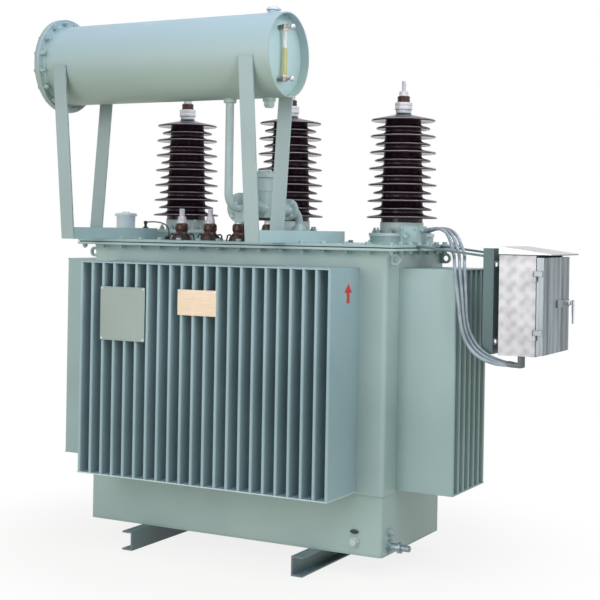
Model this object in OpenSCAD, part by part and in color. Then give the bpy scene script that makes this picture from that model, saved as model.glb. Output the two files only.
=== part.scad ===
// Oil-immersed three-phase distribution transformer: corrugated tank on two base channels,
// conservator on a V cradle, porcelain bushings on the cover and a terminal box at the right.
// Long side along X, front with the plates at -Y, Z up, ground at Z = 0. Millimetres.

/* [Base rails] */
// Height of the base channels
rail_h = 80; // [60:1:120]
// Flange width of the base channels
rail_w = 50; // [44:1:70]
// Plate thickness of the base channels
rail_t = 7; // [5:1:10]
// Length of the base channels along Y
rail_l = 888; // [840:2:1100]
// Spacing of the fixing holes along X
bolt_x = 820; // [660:2:1000]
// Spacing of the fixing holes along Y
bolt_y = 750; // [690:2:800]
// Diameter of the fixing holes
base_hole_d = 22; // [14:1:26]
// Distance of the fixing holes from the back of the channel
back_mark = 26; // [24:1:32]

/* [Tank] */
// Outside length of the tank
tank_l = 1426; // [1320:2:1700]
// Outside depth of the tank
tank_w = 600; // [540:2:660]
// Thickness of the tank walls
tank_wall = 6; // [4:1:10]
// Thickness of the tank floor
floor_t = 8; // [6:1:14]
// Outside radius of the upright corners
corner_r = 18; // [12:1:30]
// Height of the plain box below the fins
skirt_h = 250; // [200:5:320]
// How far the upper walls stand out past the plain box
ledge = 4; // [2:0.5:5]
// Height of the plain wall above the fins
band_h = 70; // [64:2:140]
// Thickness of the rim flange on top of the walls
rim_t = 10; // [6:1:16]

/* [Cooling fins] */
// Height of the fins
fin_h = 896; // [700:4:1000]
// Thickness of a fin
fin_t = 14; // [10:1:20]
// Distance from fin to fin
fin_pitch = 56; // [50:1:58]
// Fins on the front and on the back
fins_long = 22; // [16:1:22]
// Fins on each end
fins_short = 7; // [5:1:8]
// Depth of the fins on the front and back
fin_d_long = 255; // [150:5:300]
// Depth of the fins on the ends
fin_d_short = 245; // [150:5:280]
// Thickness of the bars that tie the fins at top and bottom
tie_t = 5; // [3:1:8]

/* [Cover] */
// How far cover and rim stand out past the tank walls
overhang = 60; // [50:1:80]
// Thickness of the cover
cover_t = 10; // [8:1:16]
// Corner radius of the cover
cover_r = 25; // [10:1:40]
// Thickness of the gasket under the cover
gasket_t = 4; // [2:0.5:6]
// How far the gasket stays back from the rim's edge
gasket_inset = 6; // [3:1:12]
// Reach of a lifting lug out of the end wall
lug_reach = 48; // [46:1:56]
// Height of a lifting lug
lug_h = 44; // [40:1:46]
// Thickness of a lifting lug
lug_t = 12; // [8:1:20]
// Diameter of the hole in a lifting lug
lug_hole_d = 24; // [16:1:26]
// Distance of the lugs from the middle along Y
lug_y = 262; // [200:1:264]

/* [High-voltage bushings] */
// Distance of the outer bushings from the ends of the tank
hv_edge = 157; // [150:1:180]
// Place of the row behind the middle of the tank
hv_y = 198; // [160:1:215]
// Diameter of the turrets on the cover
turret_d = 276; // [250:1:290]
// Height of the turrets
turret_h = 32; // [26:1:44]
// Diameter of the clamping flanges
hv_flange_d = 284; // [270:1:296]
// Thickness of the clamping flanges
hv_flange_t = 14; // [10:1:20]
// Diameter of the sleeve under the porcelain
hv_sleeve_d = 188; // [184:1:220]
// Height of the sleeve
hv_sleeve_h = 46; // [38:1:60]
// Number of sheds on a high-voltage bushing
shed_count = 13; // [9:2:15]
// Distance from shed to shed
shed_pitch = 35; // [32:1:40]
// Diameter of the lowest large shed
shed_d_low = 306; // [290:1:320]
// Diameter of the highest large shed
shed_d_high = 278; // [250:1:300]
// How much smaller in diameter the small sheds are
shed_step = 46; // [20:1:70]
// Thickness of a shed at its tip
shed_tip = 6; // [3:0.5:8]
// Diameter of the porcelain core at the bottom
core_d_low = 182; // [150:1:184]
// Diameter of the porcelain core at the top
core_d_high = 153; // [120:1:170]
// Diameter of the porcelain neck
neck_d = 64; // [50:1:70]
// Diameter of the metal collar on the neck
collar_d = 76; // [70:1:90]
// Diameter of the terminal studs of the high-voltage side
hv_stud_d = 18; // [12:1:24]
// Free length of the high-voltage studs above their nut
hv_stud_l = 44; // [30:1:80]

/* [Low-voltage bushings] */
// Distance between the low-voltage bushings
lv_pitch = 149; // [120:1:152]
// Distance of the last low-voltage bushing from the relay's front flange along X
lv_relay = 31; // [24:1:50]
// Place of the row in front of the middle of the tank
lv_y = -100; // [-112:1:-92]
// Diameter of the clamp ring at the foot
lv_ring_d = 94; // [80:1:110]
// Largest diameter of the porcelain
lv_body_d = 60; // [50:1:70]
// Diameter of the terminal studs of the low-voltage side
lv_stud_d = 24; // [16:1:28]
// Free length of the low-voltage studs
lv_stud_l = 30; // [20:1:60]

/* [Conservator] */
// Place of the conservator's middle along X
cons_x = -196; // [-240:1:-150]
// Place of its axis in front of the middle of the tank
cons_y = -476; // [-500:1:-460]
// Height of its axis above the cover
cons_up = 746; // [720:2:800]
// Outside diameter of the shell
cons_d = 338; // [300:2:380]
// Length of the shell
cons_l = 1104; // [1060:2:1200]
// Thickness of the shell
cons_wall = 5; // [3:1:8]
// Diameter of the bolted end flange
cons_flange_d = 402; // [390:2:450]
// Thickness of each of the two flange plates
cons_flange_t = 12; // [8:1:18]
// How far the dished end sits inside the shell
end_recess = 10; // [4:1:20]
// Depth of the dish
dish_depth = 26; // [10:1:40]

/* [Cradle] */
// Distance between the two cradle frames
cradle_pitch = 905; // [860:1:920]
// Width of the cradle legs and channels
cradle_w = 63; // [50:1:80]
// Height of the cradle channels
cradle_h = 50; // [40:1:70]
// Plate thickness of the cradle channels
cradle_t = 6; // [4:1:8]
// Thickness of the cradle legs
leg_t = 8; // [6:1:12]
// Lean of the legs
leg_lean = 6; // [4:0.5:7]
// Reach of the legs above the axis of the conservator
leg_up = 0; // [-10:1:30]
// Place of the far end of the right cradle channel along Y
cradle_back = 185; // [150:1:230]

/* [Oil pipe and gas relay] */
// Place of the front relay flange along X
relay_x = 95; // [85:1:110]
// Diameter of the oil pipe
pipe_d = 34; // [26:1:42]
// Bend radius of the oil pipe
bend_r = 60; // [50:1:70]
// Height of the relay's axis above the cover
relay_up = 140; // [132:1:170]
// Turn of the relay's axis away from Y
relay_turn = 6; // [0:0.5:8]
// Length of the relay over its flanges
relay_l = 340; // [320:1:350]
// Distance of the relay's pot from its front flange
relay_pot = 165; // [150:1:185]
// Diameter of the pipe flanges
pipe_flange_d = 124; // [100:1:136]
// Diameter of the flanges on the relay's far side
far_flange_d = 92; // [84:1:120]
// Thickness of the pipe flanges
pipe_flange_t = 12; // [8:1:16]

/* [Terminal box] */
// Gap between the fins and the box's bracket
box_gap = 102; // [90:1:160]
// Width of the bracket's side flanges
bracket_w = 44; // [36:1:60]
// Thickness of the bracket plate
bracket_t = 4; // [3:1:6]
// Length of the spacers between bracket and box
spacer_l = 29; // [10:1:36]
// Depth of the box along X
box_d = 148; // [110:1:170]
// Width of the box along Y
box_w = 340; // [320:2:420]
// Height of the box
box_h = 390; // [340:2:420]
// Height of the box's underside above the ground
box_z = 900; // [880:2:920]
// Sheet thickness of box and door
sheet_t = 3; // [2:0.5:4]
// Depth of the door's edge
door_d = 28; // [14:1:32]
// Gap between the door and what is round it
door_gap = 2; // [1:0.5:3]
// Overhang of the rain hood past the door
hood_reach = 36; // [30:1:60]
// Fall of the rain hood
hood_fall = 32; // [24:1:60]
// Diameter of the hinge knuckles
knuckle_d = 14; // [12:0.5:16]
// Diameter of the hinge pins
pin_d = 6; // [4:0.5:7]
// Clearance round the hinge pins
pin_clear = 0.4; // [0.3:0.1:0.6]
// Length of one hinge knuckle
knuckle_l = 20; // [14:1:30]

/* [Fittings] */
// Diameter of the capped can on the cover
can_d = 86; // [76:1:90]
// Height of the capped can
can_h = 104; // [90:1:130]
// Width and height of the painted square plate
badge_w = 224; // [180:1:240]
// Width of the nameplate
nameplate_w = 184; // [140:1:200]
// Height of the nameplate
nameplate_h = 104; // [80:1:120]
// Thickness of the plates on the fins
plate_t = 3; // [2:0.5:5]
// Outside diameter of the leads
lead_d = 14; // [10:1:15]

/* [Hidden] */
$fn = 64;

paint = [0.56, 0.64, 0.63];
porcelain = [0.16, 0.08, 0.09];
steel = [0.75, 0.75, 0.77];
dark = [0.16, 0.17, 0.18];

// Gap that stands for a seated or welded joint between curved faces
seat = 0.3;
// Length by which a cutting shape passes the face that it cuts
cut = 1;

// Levels from the ground up
z_fin0 = rail_h + skirt_h;
z_fin1 = z_fin0 + fin_h;
z_rim = z_fin1 + band_h;
z_gasket = z_rim + rim_t;
z_plate = z_gasket + gasket_t;
z_cover = z_plate + cover_t;
cover_l = tank_l + 2 * overhang;
cover_w = tank_w + 2 * overhang;

// Channel of height h and flange width w along +Y, its back on the plane x = 0, flanges towards +X
module channel(h, w, t, l) {
    cube([t, l, h]);
    for (z = [0, h - t])
        translate([0, 0, z])
            cube([w, l, t]);
}

module rounded_rect(l, w, r) {
    square([l - 2 * r, w], center = true);
    square([l, w - 2 * r], center = true);
    for (sx = [-1, 1], sy = [-1, 1])
        translate([sx * (l / 2 - r), sy * (w / 2 - r)])
            circle(r = r);
}

rail_back = bolt_x / 2 - back_mark;

module base_rails() {
    color(paint)
        for (side = [0, 1])
            mirror([side, 0, 0])
                difference() {
                    translate([rail_back, -rail_l / 2, 0])
                        channel(rail_h, rail_w, rail_t, rail_l);
                    for (sy = [-1, 1])
                        translate([bolt_x / 2, sy * bolt_y / 2, -cut])
                            cylinder(d = base_hole_d, h = rail_t + 2 * cut);
                }
}

// Plain box below the fins, and the walls above it that stand out by a small ledge
ledge_drop = 8;
z_ledge = z_fin0 - ledge_drop;
box_l = tank_l - 2 * ledge;
box_b = tank_w - 2 * ledge;

module tank_floor() {
    color(paint)
        translate([0, 0, rail_h])
            linear_extrude(floor_t)
                rounded_rect(box_l, box_b, corner_r - ledge);
}

module wall_ring(l, w, r) {
    difference() {
        rounded_rect(l, w, r);
        rounded_rect(l - 2 * tank_wall, w - 2 * tank_wall, r - tank_wall);
    }
}

module tank_bore() {
    rounded_rect(tank_l - 2 * tank_wall, tank_w - 2 * tank_wall, corner_r - tank_wall);
}

module tank_walls() {
    z_floor = rail_h + floor_t;
    color(paint) {
        translate([0, 0, z_floor])
            linear_extrude(z_ledge - z_floor)
                wall_ring(box_l, box_b, corner_r - ledge);
        translate([0, 0, z_ledge])
            linear_extrude(z_rim - z_ledge)
                wall_ring(tank_l, tank_w, corner_r);
        translate([0, 0, z_rim])
            linear_extrude(rim_t)
                difference() {
                    rounded_rect(cover_l, cover_w, cover_r);
                    tank_bore();
                }
    }
}

module cover_gasket() {
    color(dark)
        translate([0, 0, z_gasket])
            linear_extrude(gasket_t)
                difference() {
                    rounded_rect(cover_l - 2 * gasket_inset, cover_w - 2 * gasket_inset, cover_r);
                    tank_bore();
                }
}

module tank_cover() {
    color(paint)
        translate([0, 0, z_plate])
            linear_extrude(cover_t)
                rounded_rect(cover_l, cover_w, cover_r);
}

function bank_w(count) = (count - 1) * fin_pitch + fin_t;

// Bank of fins on the wall y = 0, pointing to -Y: each fin has a round outer fold
module fin_bank(count, depth) {
    round_r = fin_t / 2;
    translate([0, 0, z_fin0]) {
        for (i = [0 : count - 1])
            translate([(i - (count - 1) / 2) * fin_pitch, 0, 0])
                linear_extrude(fin_h) {
                    translate([-round_r, round_r - depth])
                        square([fin_t, depth - round_r]);
                    translate([0, round_r - depth])
                        circle(r = round_r);
                }
        for (z = [0, fin_h - tie_t])
            translate([-bank_w(count) / 2, -depth, z])
                cube([bank_w(count), depth, tie_t]);
    }
}

module fins_front() {
    color(paint)
        translate([0, -tank_w / 2, 0])
            fin_bank(fins_long, fin_d_long);
}

module fins_back() {
    color(paint)
        translate([0, tank_w / 2, 0])
            rotate([0, 0, 180])
                fin_bank(fins_long, fin_d_long);
}

module fins_left() {
    color(paint)
        translate([-tank_l / 2, 0, 0])
            rotate([0, 0, -90])
                fin_bank(fins_short, fin_d_short);
}

module fins_right() {
    color(paint)
        translate([tank_l / 2, 0, 0])
            rotate([0, 0, 90])
                fin_bank(fins_short, fin_d_short);
}

lug_z = z_fin1 + band_h / 2;

module lifting_lugs() {
    lug_r = lug_h / 2;
    color(paint)
        for (side = [0, 1], sy = [-1, 1])
            mirror([side, 0, 0])
                translate([tank_l / 2, sy * lug_y + lug_t / 2, lug_z])
                    rotate([90, 0, 0])
                        linear_extrude(lug_t)
                            difference() {
                                union() {
                                    translate([0, -lug_r])
                                        square([lug_reach - lug_r, lug_h]);
                                    translate([lug_reach - lug_r, 0])
                                        circle(r = lug_r);
                                }
                                translate([lug_reach - lug_r, 0])
                                    circle(d = lug_hole_d);
                            }
}

hv_pitch = tank_l / 2 - hv_edge;
z_turret = z_cover + turret_h;
z_sleeve = z_turret + hv_flange_t;
z_porcelain = z_sleeve + hv_sleeve_h;

module each_hv() {
    for (i = [-1 : 1])
        translate([i * hv_pitch, hv_y, 0])
            children();
}

module hv_turrets() {
    color(paint)
        each_hv()
            translate([0, 0, z_cover])
                cylinder(d = turret_d, h = turret_h);
}

module hv_flanges() {
    color(paint)
        each_hv()
            translate([0, 0, z_turret]) {
                cylinder(d = hv_flange_d, h = hv_flange_t);
                cylinder(d = hv_sleeve_d, h = hv_flange_t + hv_sleeve_h);
            }
}

// Outline of the porcelain: large and small sheds in turn on a tapering core
shed_lift = 22;
shed_under = 4;
shed_over = 16;
neck_rise = 36;
neck_h = 10;
shed_top = shed_lift + (shed_count - 1) * shed_pitch;

function along(low, high, i) = low + (high - low) * i / (shed_count - 1);
function shed_r(i) = (along(shed_d_low, shed_d_high, i) - (i % 2) * shed_step) / 2;
function core_r(i) = along(core_d_low, core_d_high, i) / 2;
function shed_outline(i, z) = [
    [core_r(i), z + shed_under],
    [shed_r(i), z - shed_tip / 2],
    [shed_r(i), z + shed_tip / 2],
    if (i < shed_count - 1) [core_r(i), z + shed_over]
];

module hv_porcelain() {
    outline = concat(
        [[0, 0], [core_r(0), 0]],
        [for (i = [0 : shed_count - 1]) each shed_outline(i, shed_lift + i * shed_pitch)],
        [[neck_d / 2, shed_top + neck_rise], [neck_d / 2, shed_top + neck_rise + neck_h],
            [0, shed_top + neck_rise + neck_h]]
    );
    color(porcelain)
        each_hv()
            translate([0, 0, z_porcelain])
                rotate_extrude()
                    polygon(outline);
}

z_collar = z_porcelain + shed_top + neck_rise + neck_h;
collar_h = 32;
seal_d = 55;
seal_h = 28;
washer_h = 4;
hv_nut_h = 18;
hv_nut_d = 36;
z_hv_nut = z_collar + collar_h + seal_h + washer_h;
z_hv_stud = z_hv_nut + hv_nut_h;

module hv_terminals() {
    color(steel)
        each_hv() {
            translate([0, 0, z_collar])
                cylinder(d = collar_d, h = collar_h);
            translate([0, 0, z_collar + collar_h])
                cylinder(d = seal_d, h = seal_h);
            translate([0, 0, z_hv_nut - washer_h])
                cylinder(d = hv_nut_d, h = washer_h);
            translate([0, 0, z_hv_nut])
                cylinder(d = hv_nut_d, h = hv_nut_h, $fn = 6);
            translate([0, 0, z_hv_stud])
                cylinder(d = hv_stud_d, h = hv_stud_l);
        }
}

lv_count = 4;
lv_x = relay_x - lv_relay - (lv_count - 1) * lv_pitch;
lv_ring_h = 22;
lv_body_h = 53;
lv_foot_d = 78;
lv_foot_lip = 6;
lv_waist_in = 4;
lv_waist = [14, 18, 23];
lv_crown = 8;
lv_nut_d = 44;
lv_nut_h = 34;
z_lv_body = z_cover + lv_ring_h;
z_lv_nut = z_lv_body + lv_body_h;
z_lv_stud = z_lv_nut + lv_nut_h;

module each_lv() {
    for (i = [0 : lv_count - 1])
        translate([lv_x + i * lv_pitch, lv_y, 0])
            children();
}

module lv_rings() {
    color(dark)
        each_lv()
            translate([0, 0, z_cover])
                cylinder(d1 = lv_ring_d, d2 = lv_foot_d, h = lv_ring_h);
}

module lv_porcelain() {
    bulge = lv_body_d / 2;
    waist = bulge - lv_waist_in;
    color([0.33, 0.2, 0.17])
        each_lv()
            translate([0, 0, z_lv_body])
                rotate_extrude()
                    polygon([[0, 0], [lv_foot_d / 2 - lv_foot_lip, 0], [waist, lv_waist[0]],
                        [waist, lv_waist[1]], [bulge, lv_waist[2]], [bulge, lv_body_h - lv_crown],
                        [bulge - lv_crown, lv_body_h], [0, lv_body_h]]);
}

module lv_terminals() {
    color(steel)
        each_lv() {
            translate([0, 0, z_lv_nut])
                cylinder(d = lv_nut_d, h = lv_nut_h, $fn = 6);
            translate([0, 0, z_lv_stud])
                cylinder(d = lv_stud_d, h = lv_stud_l);
        }
}

cons_z = z_cover + cons_up;
cons_left = cons_x - cons_l / 2;
cons_right = cons_x + cons_l / 2;
cons_r = cons_d / 2;

// Pipe connection and sludge boss under the shell, breather boss on top
boss_h = 14;
boss_d = 52;
sludge_in = 88;
breather_in = 74;
breather_boss_h = 4;
z_boss = cons_z - cons_r - boss_h;
z_breather = cons_z + cons_r + breather_boss_h;
sludge_x = cons_right - sludge_in;
breather_x = cons_right - breather_in;

// Foot of the oil pipe's upright run, in line with the relay's turned axis
stub_l = 26;
pipe_y = cons_y;
relay_y = pipe_y + (bend_r + stub_l) * cos(relay_turn);
pipe_x = relay_x - (bend_r + stub_l) * sin(relay_turn);

module conservator_shell() {
    color(paint)
        difference() {
            union() {
                translate([cons_left, cons_y, cons_z])
                    rotate([0, 90, 0]) {
                        cylinder(d = cons_d, h = cons_l);
                        cylinder(d = cons_flange_d, h = cons_flange_t);
                    }
                for (x = [pipe_x, sludge_x])
                    translate([x, cons_y, z_boss])
                        cylinder(d = boss_d, h = cons_r);
                translate([breather_x, cons_y, cons_z])
                    cylinder(d = boss_d, h = z_breather - cons_z);
            }
            translate([cons_left - cut, cons_y, cons_z])
                rotate([0, 90, 0])
                    cylinder(d = cons_d - 2 * cons_wall, h = cons_l + 2 * cut);
        }
}

module conservator_flange() {
    color(paint)
        translate([cons_left - cons_flange_t, cons_y, cons_z])
            rotate([0, 90, 0])
                cylinder(d = cons_flange_d, h = cons_flange_t);
}

dish_rim_r = cons_r - cons_wall - seat;
dish_ball_r = (dish_rim_r * dish_rim_r + dish_depth * dish_depth) / (2 * dish_depth);
dish_edge = 12;

// How far the dish falls back from its crown at the distance r from the axis
function dish_sag(r) = dish_ball_r - sqrt(dish_ball_r * dish_ball_r - r * r);

// Dished end: the crown in short steps, with a straight edge inside the shell
dish_steps = 10;

module conservator_end() {
    radii = [for (k = [0 : dish_steps]) k / dish_steps];
    bore_r = dish_rim_r - cons_wall;
    color(paint)
        translate([cons_right - end_recess - dish_depth, cons_y, cons_z])
            rotate([0, 90, 0])
                rotate_extrude()
                    polygon(concat(
                        [for (k = radii) [dish_rim_r * k, dish_depth - dish_sag(dish_rim_r * k)]],
                        [[dish_rim_r, -dish_edge], [bore_r, -dish_edge]],
                        [for (k = radii)
                            [bore_r * (1 - k), dish_depth - cons_wall - dish_sag(bore_r * (1 - k))]]
                    ));
}

// Leg faces in the plane across the conservator: s runs down the leg from the touching point
function leg_point(off, s) = [
    -off * cos(leg_lean) + s * sin(leg_lean),
    -off * sin(leg_lean) - s * cos(leg_lean)
];
function leg_run(off, drop) = (drop - off * sin(leg_lean)) / cos(leg_lean);

leg_in = cons_r + seat;
leg_out = leg_in + leg_t;
z_cradle = z_cover + cradle_h;

module leg(foot_z) {
    drop = cons_z - foot_z;
    translate([-cradle_w / 2, 0, 0])
        rotate([90, 0, 90])
            linear_extrude(cradle_w)
                polygon([leg_point(leg_in, -leg_up), leg_point(leg_in, leg_run(leg_in, drop)),
                    leg_point(leg_out, leg_run(leg_out, drop)), leg_point(leg_out, -leg_up)]);
}

cradle_x = [cons_x - cradle_pitch / 2, cons_x + cradle_pitch / 2];

module each_cradle() {
    for (x = cradle_x)
        translate([x, cons_y, 0])
            children();
}

module cradle_front_legs() {
    color(paint)
        each_cradle()
            translate([0, 0, cons_z])
                leg(z_cover);
}

module cradle_back_legs() {
    color(paint)
        each_cradle()
            translate([0, 0, cons_z])
                mirror([0, 1, 0])
                    leg(z_cradle);
}

// Channels under the legs, mitred to the front legs that close their ends: the left one stops
// short of the bushing behind it
cradle_stop = [hv_y - hv_flange_d / 2 - 6, cradle_back];

module cradle_rails() {
    tip = leg_point(leg_in - seat, leg_run(leg_in - seat, cons_up))[0];
    color(paint)
        for (i = [0, 1])
            translate([cradle_x[i], cons_y, z_cover])
                difference() {
                    translate([cradle_w / 2, tip - leg_t, 0])
                        mirror([1, 0, 0])
                            channel(cradle_h, cradle_w, cradle_t, cradle_stop[i] - cons_y - tip + leg_t);
                    translate([-cradle_w, tip, 0])
                        rotate([leg_lean, 0, 0])
                            translate([0, -3 * leg_t, -cradle_h])
                                cube([2 * cradle_w, 3 * leg_t, 3 * cradle_h]);
                }
}

breather_d = 60;
breather_top_d = 34;
breather_h = 22;

module breather_cap() {
    color(steel)
        translate([breather_x, cons_y, z_breather])
            cylinder(d1 = breather_d, d2 = breather_top_d, h = breather_h);
}

plug_d = 48;
plug_h = 18;
plug_tip_d = 34;
plug_tip_h = 6;

module sediment_plug() {
    color(paint)
        translate([sludge_x, cons_y, z_boss - plug_h]) {
            cylinder(d = plug_d, h = plug_h, $fn = 6);
            translate([0, 0, -plug_tip_h])
                cylinder(d = plug_tip_d, h = plug_tip_h);
        }
}

// Oil gauge on the dished end: a fitting at each end of the glass, seated on the dish
sight_side = 50;
sight_y = cons_y - sight_side;
sight_half = 102;
sight_out = 8;
sight_x = cons_right + sight_out;
sight_d = 18;
fitting_d = 26;
fitting_h = 20;
stem_d = 18;
stem_l = sight_out + end_recess + dish_sag(norm([sight_side, sight_half]) - stem_d / 2) - seat;

module gauge_fittings() {
    color(dark)
        for (s = [-1, 1])
            translate([sight_x, sight_y, cons_z + s * sight_half]) {
                cylinder(d = fitting_d, h = fitting_h, center = true);
                rotate([0, -90, 0])
                    cylinder(d = stem_d, h = stem_l);
            }
}

module gauge_glass() {
    color([0.9, 0.85, 0.5])
        translate([sight_x, sight_y, cons_z - sight_half + fitting_h / 2])
            cylinder(d = sight_d, h = 2 * sight_half - fitting_h);
}

relay_z = z_cover + relay_up;

module at_relay() {
    translate([relay_x, relay_y, relay_z])
        rotate([0, 0, -relay_turn])
            children();
}

// Tube along +Y
module tube_y(d, l) {
    rotate([-90, 0, 0])
        cylinder(d = d, h = l);
}

module oil_pipe() {
    rise = z_boss - relay_z - bend_r;
    color(paint)
        at_relay() {
            translate([0, -bend_r - stub_l, bend_r])
                cylinder(d = pipe_d, h = rise);
            translate([0, -stub_l, bend_r])
                rotate([0, 90, 0])
                    rotate([0, 0, -90])
                        rotate_extrude(angle = 90)
                            translate([bend_r, 0])
                                circle(d = pipe_d);
            translate([0, -stub_l, 0])
                tube_y(pipe_d, stub_l);
            translate([0, -pipe_flange_t, 0])
                tube_y(pipe_flange_d, pipe_flange_t);
        }
}

// Outline of the relay's pot: a tapered body, a neck and a wide cover, measured from its axis
relay_tube_d = 56;
pot_low = -44;
pot_low_r = 24;
pot_r = 36;
pot_step = 2;
pot_neck = 74;
pot_cover = 130;
pot_cover_r = 47;
pot_cover_h = 22;
pot_dome_h = 6;
pot_dome_r = 30;

module gas_relay() {
    color(paint)
        at_relay() {
            tube_y(pipe_flange_d, pipe_flange_t);
            tube_y(relay_tube_d, relay_l);
            translate([0, relay_l - pipe_flange_t, 0])
                tube_y(far_flange_d, pipe_flange_t);
            translate([0, relay_pot, 0])
                rotate_extrude()
                    polygon([[0, pot_low], [pot_low_r, pot_low], [pot_r, pot_neck],
                        [pot_r + pot_step, pot_neck], [pot_r + pot_step, pot_cover], [pot_cover_r, pot_cover],
                        [pot_cover_r, pot_cover + pot_cover_h],
                        [pot_dome_r, pot_cover + pot_cover_h + pot_dome_h],
                        [0, pot_cover + pot_cover_h + pot_dome_h]]);
        }
}

elbow_foot_d = 112;
elbow_foot_t = 10;
skirt_top = 66;
skirt_lip = 4;

module relay_elbow() {
    color(paint)
        at_relay()
            translate([0, relay_l, 0]) {
                tube_y(far_flange_d, pipe_flange_t);
                tube_y(pipe_d, stub_l);
                translate([0, stub_l, -bend_r])
                    rotate([0, 90, 0])
                        rotate([0, 0, 90])
                            rotate_extrude(angle = 90)
                                translate([bend_r, 0])
                                    circle(d = pipe_d);
                translate([0, stub_l + bend_r, -relay_up]) {
                    cylinder(d = pipe_d, h = relay_up - bend_r);
                    cylinder(d = elbow_foot_d, h = elbow_foot_t);
                    translate([0, 0, elbow_foot_t])
                        cylinder(d1 = elbow_foot_d - skirt_lip, d2 = pipe_d + skirt_lip, h = skirt_top);
                }
            }
}

// Capped can between the left cradle channel and the edge of the cover
can_gap = 2;
can_x = cradle_x[0] - cradle_w / 2 - can_d / 2 - can_gap;
can_y = -50;
cap_lip = 8;
cap_h = 9;
cap_crown = 5;
knob_r = 20;
knob_h = 6;
knob_taper = 4;

module relief_can() {
    can_r = can_d / 2;
    cap_r = can_r + cap_lip;
    cap_top = can_h + cap_h + cap_crown;
    color([0.75, 0.78, 0.8])
        translate([can_x, can_y, z_cover])
            rotate_extrude()
                polygon([[0, 0], [can_r, 0], [can_r, can_h], [cap_r, can_h], [cap_r, can_h + cap_h],
                    [can_r, cap_top], [knob_r, cap_top], [knob_r - knob_taper, cap_top + knob_h],
                    [0, cap_top + knob_h]]);
}

// Drain valve low on the right end, turned about its outlet axis
drain_in = 77;
drain_y = drain_in - tank_w / 2;
drain_up = 34;
drain_flange_r = 26;
drain_body_r = 16;
drain_nut_r = 22;
drain_spout_r = 13;
drain_flange_t = 10;
drain_body_l = 40;
drain_nut_l = 14;
drain_spout_l = 34;
drain_lip = 3;

module drain_valve() {
    nut_end = drain_body_l + drain_nut_l;
    color(steel)
        translate([box_l / 2, drain_y, rail_h + drain_up])
            rotate([0, 90, 0])
                rotate_extrude()
                    polygon([[0, 0], [drain_flange_r, 0], [drain_flange_r, drain_flange_t],
                        [drain_body_r, drain_flange_t], [drain_body_r, drain_body_l],
                        [drain_nut_r, drain_body_l], [drain_nut_r, nut_end],
                        [drain_spout_r, nut_end], [drain_spout_r, nut_end + drain_spout_l],
                        [drain_spout_r - drain_lip, nut_end + drain_spout_l + drain_lip],
                        [0, nut_end + drain_spout_l + drain_lip]]);
}

// Earth bolt on its pad, low on the front
earth_in = 122;
earth_x = tank_l / 2 - earth_in;
earth_up = 53;
earth_pad_d = 42;
earth_pad_t = 8;
earth_head_d = 32;
earth_head_h = 12;

module earth_stud() {
    color(steel)
        translate([earth_x, -box_b / 2, rail_h + earth_up])
            rotate([90, 0, 0]) {
                cylinder(d = earth_pad_d, h = earth_pad_t);
                translate([0, 0, earth_pad_t])
                    cylinder(d = earth_head_d, h = earth_head_h, $fn = 6);
            }
}

// Plates on the outer folds of the front fins
plate_drop = 102;
plate_top = z_fin1 - plate_drop;
plate_y = -tank_w / 2 - fin_d_long - plate_t;
badge_x = -484;
nameplate_x = -98;

module badge_plate() {
    color(paint)
        translate([badge_x, plate_y, plate_top - badge_w])
            cube([badge_w, plate_t, badge_w]);
}

module nameplate() {
    color([0.85, 0.7, 0.45])
        translate([nameplate_x, plate_y, plate_top - nameplate_h])
            cube([nameplate_w, plate_t, nameplate_h]);
}

// Small terminal box on the right-hand turret, with a nipple for each lead
ct_w = 78;
ct_h = 77;
ct_l = 100;
ct_y = 28;
ct_side = 69;
ct_x = hv_pitch + ct_side;
nipple_d = 16;

module ct_box() {
    color(paint) {
        difference() {
            translate([ct_x, ct_y, z_cover])
                cube([ct_w, ct_l, ct_h]);
            translate([hv_pitch, hv_y, z_cover - cut])
                cylinder(d = hv_flange_d + 2 * seat, h = ct_h + 2 * cut);
        }
        for (i = [0 : lead_count - 1])
            translate([ct_x + ct_w, lead_start[1] + i * lead_step[1], lead_start[2]])
                rotate([0, 90, 0])
                    cylinder(d = nipple_d, h = lead_start[0] - ct_x - ct_w);
    }
}

bracket_x = tank_l / 2 + fin_d_short + box_gap;
bracket_drop = 6;
bracket_top = z_cover - bracket_drop;
bracket_inset = 20;
bracket_span = box_w - 2 * bracket_inset;
box_x = bracket_x + bracket_w + spacer_l;
box_front = box_x + box_d;
door_x = box_front + door_gap;
box_top = box_z + box_h;
spacer_d = 20;
spacer_in = 24;
spacer_low = 50;
spacer_high = 40;
spacer_z = [box_z + spacer_low, box_top - spacer_high];

// Bracket plate with side flanges towards the tank, and the spacers that carry the box
module box_bracket() {
    color(paint) {
        translate([bracket_x + bracket_w - bracket_t, -bracket_span / 2, box_z])
            cube([bracket_t, bracket_span, bracket_top - box_z]);
        for (sy = [-1, 1])
            translate([bracket_x, sy * (bracket_span - bracket_t) / 2 - bracket_t / 2, box_z])
                cube([bracket_w, bracket_t, bracket_top - box_z]);
        for (sy = [-1, 1], z = spacer_z)
            translate([bracket_x + bracket_w, sy * (bracket_span / 2 - spacer_in), z])
                rotate([0, 90, 0])
                    cylinder(d = spacer_d, h = spacer_l);
    }
}

arm_w = 36;
arm_t = 8;
arm_fall = 37;
arm_high = z_cover - 1;

// Flat bars that slope from the cover's edge down to the bracket, one inside each side flange
module box_arms() {
    edge = cover_l / 2;
    reach = bracket_x + bracket_w - bracket_t;
    color(paint)
        for (side = [0, 1])
            mirror([0, side, 0])
                translate([0, arm_w + bracket_t - bracket_span / 2, 0])
                    rotate([90, 0, 0])
                        linear_extrude(arm_w)
                            polygon([[edge, arm_high], [reach, arm_high - arm_fall],
                                [reach, arm_high - arm_fall - arm_t], [edge, arm_high - arm_t]]);
}

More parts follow.
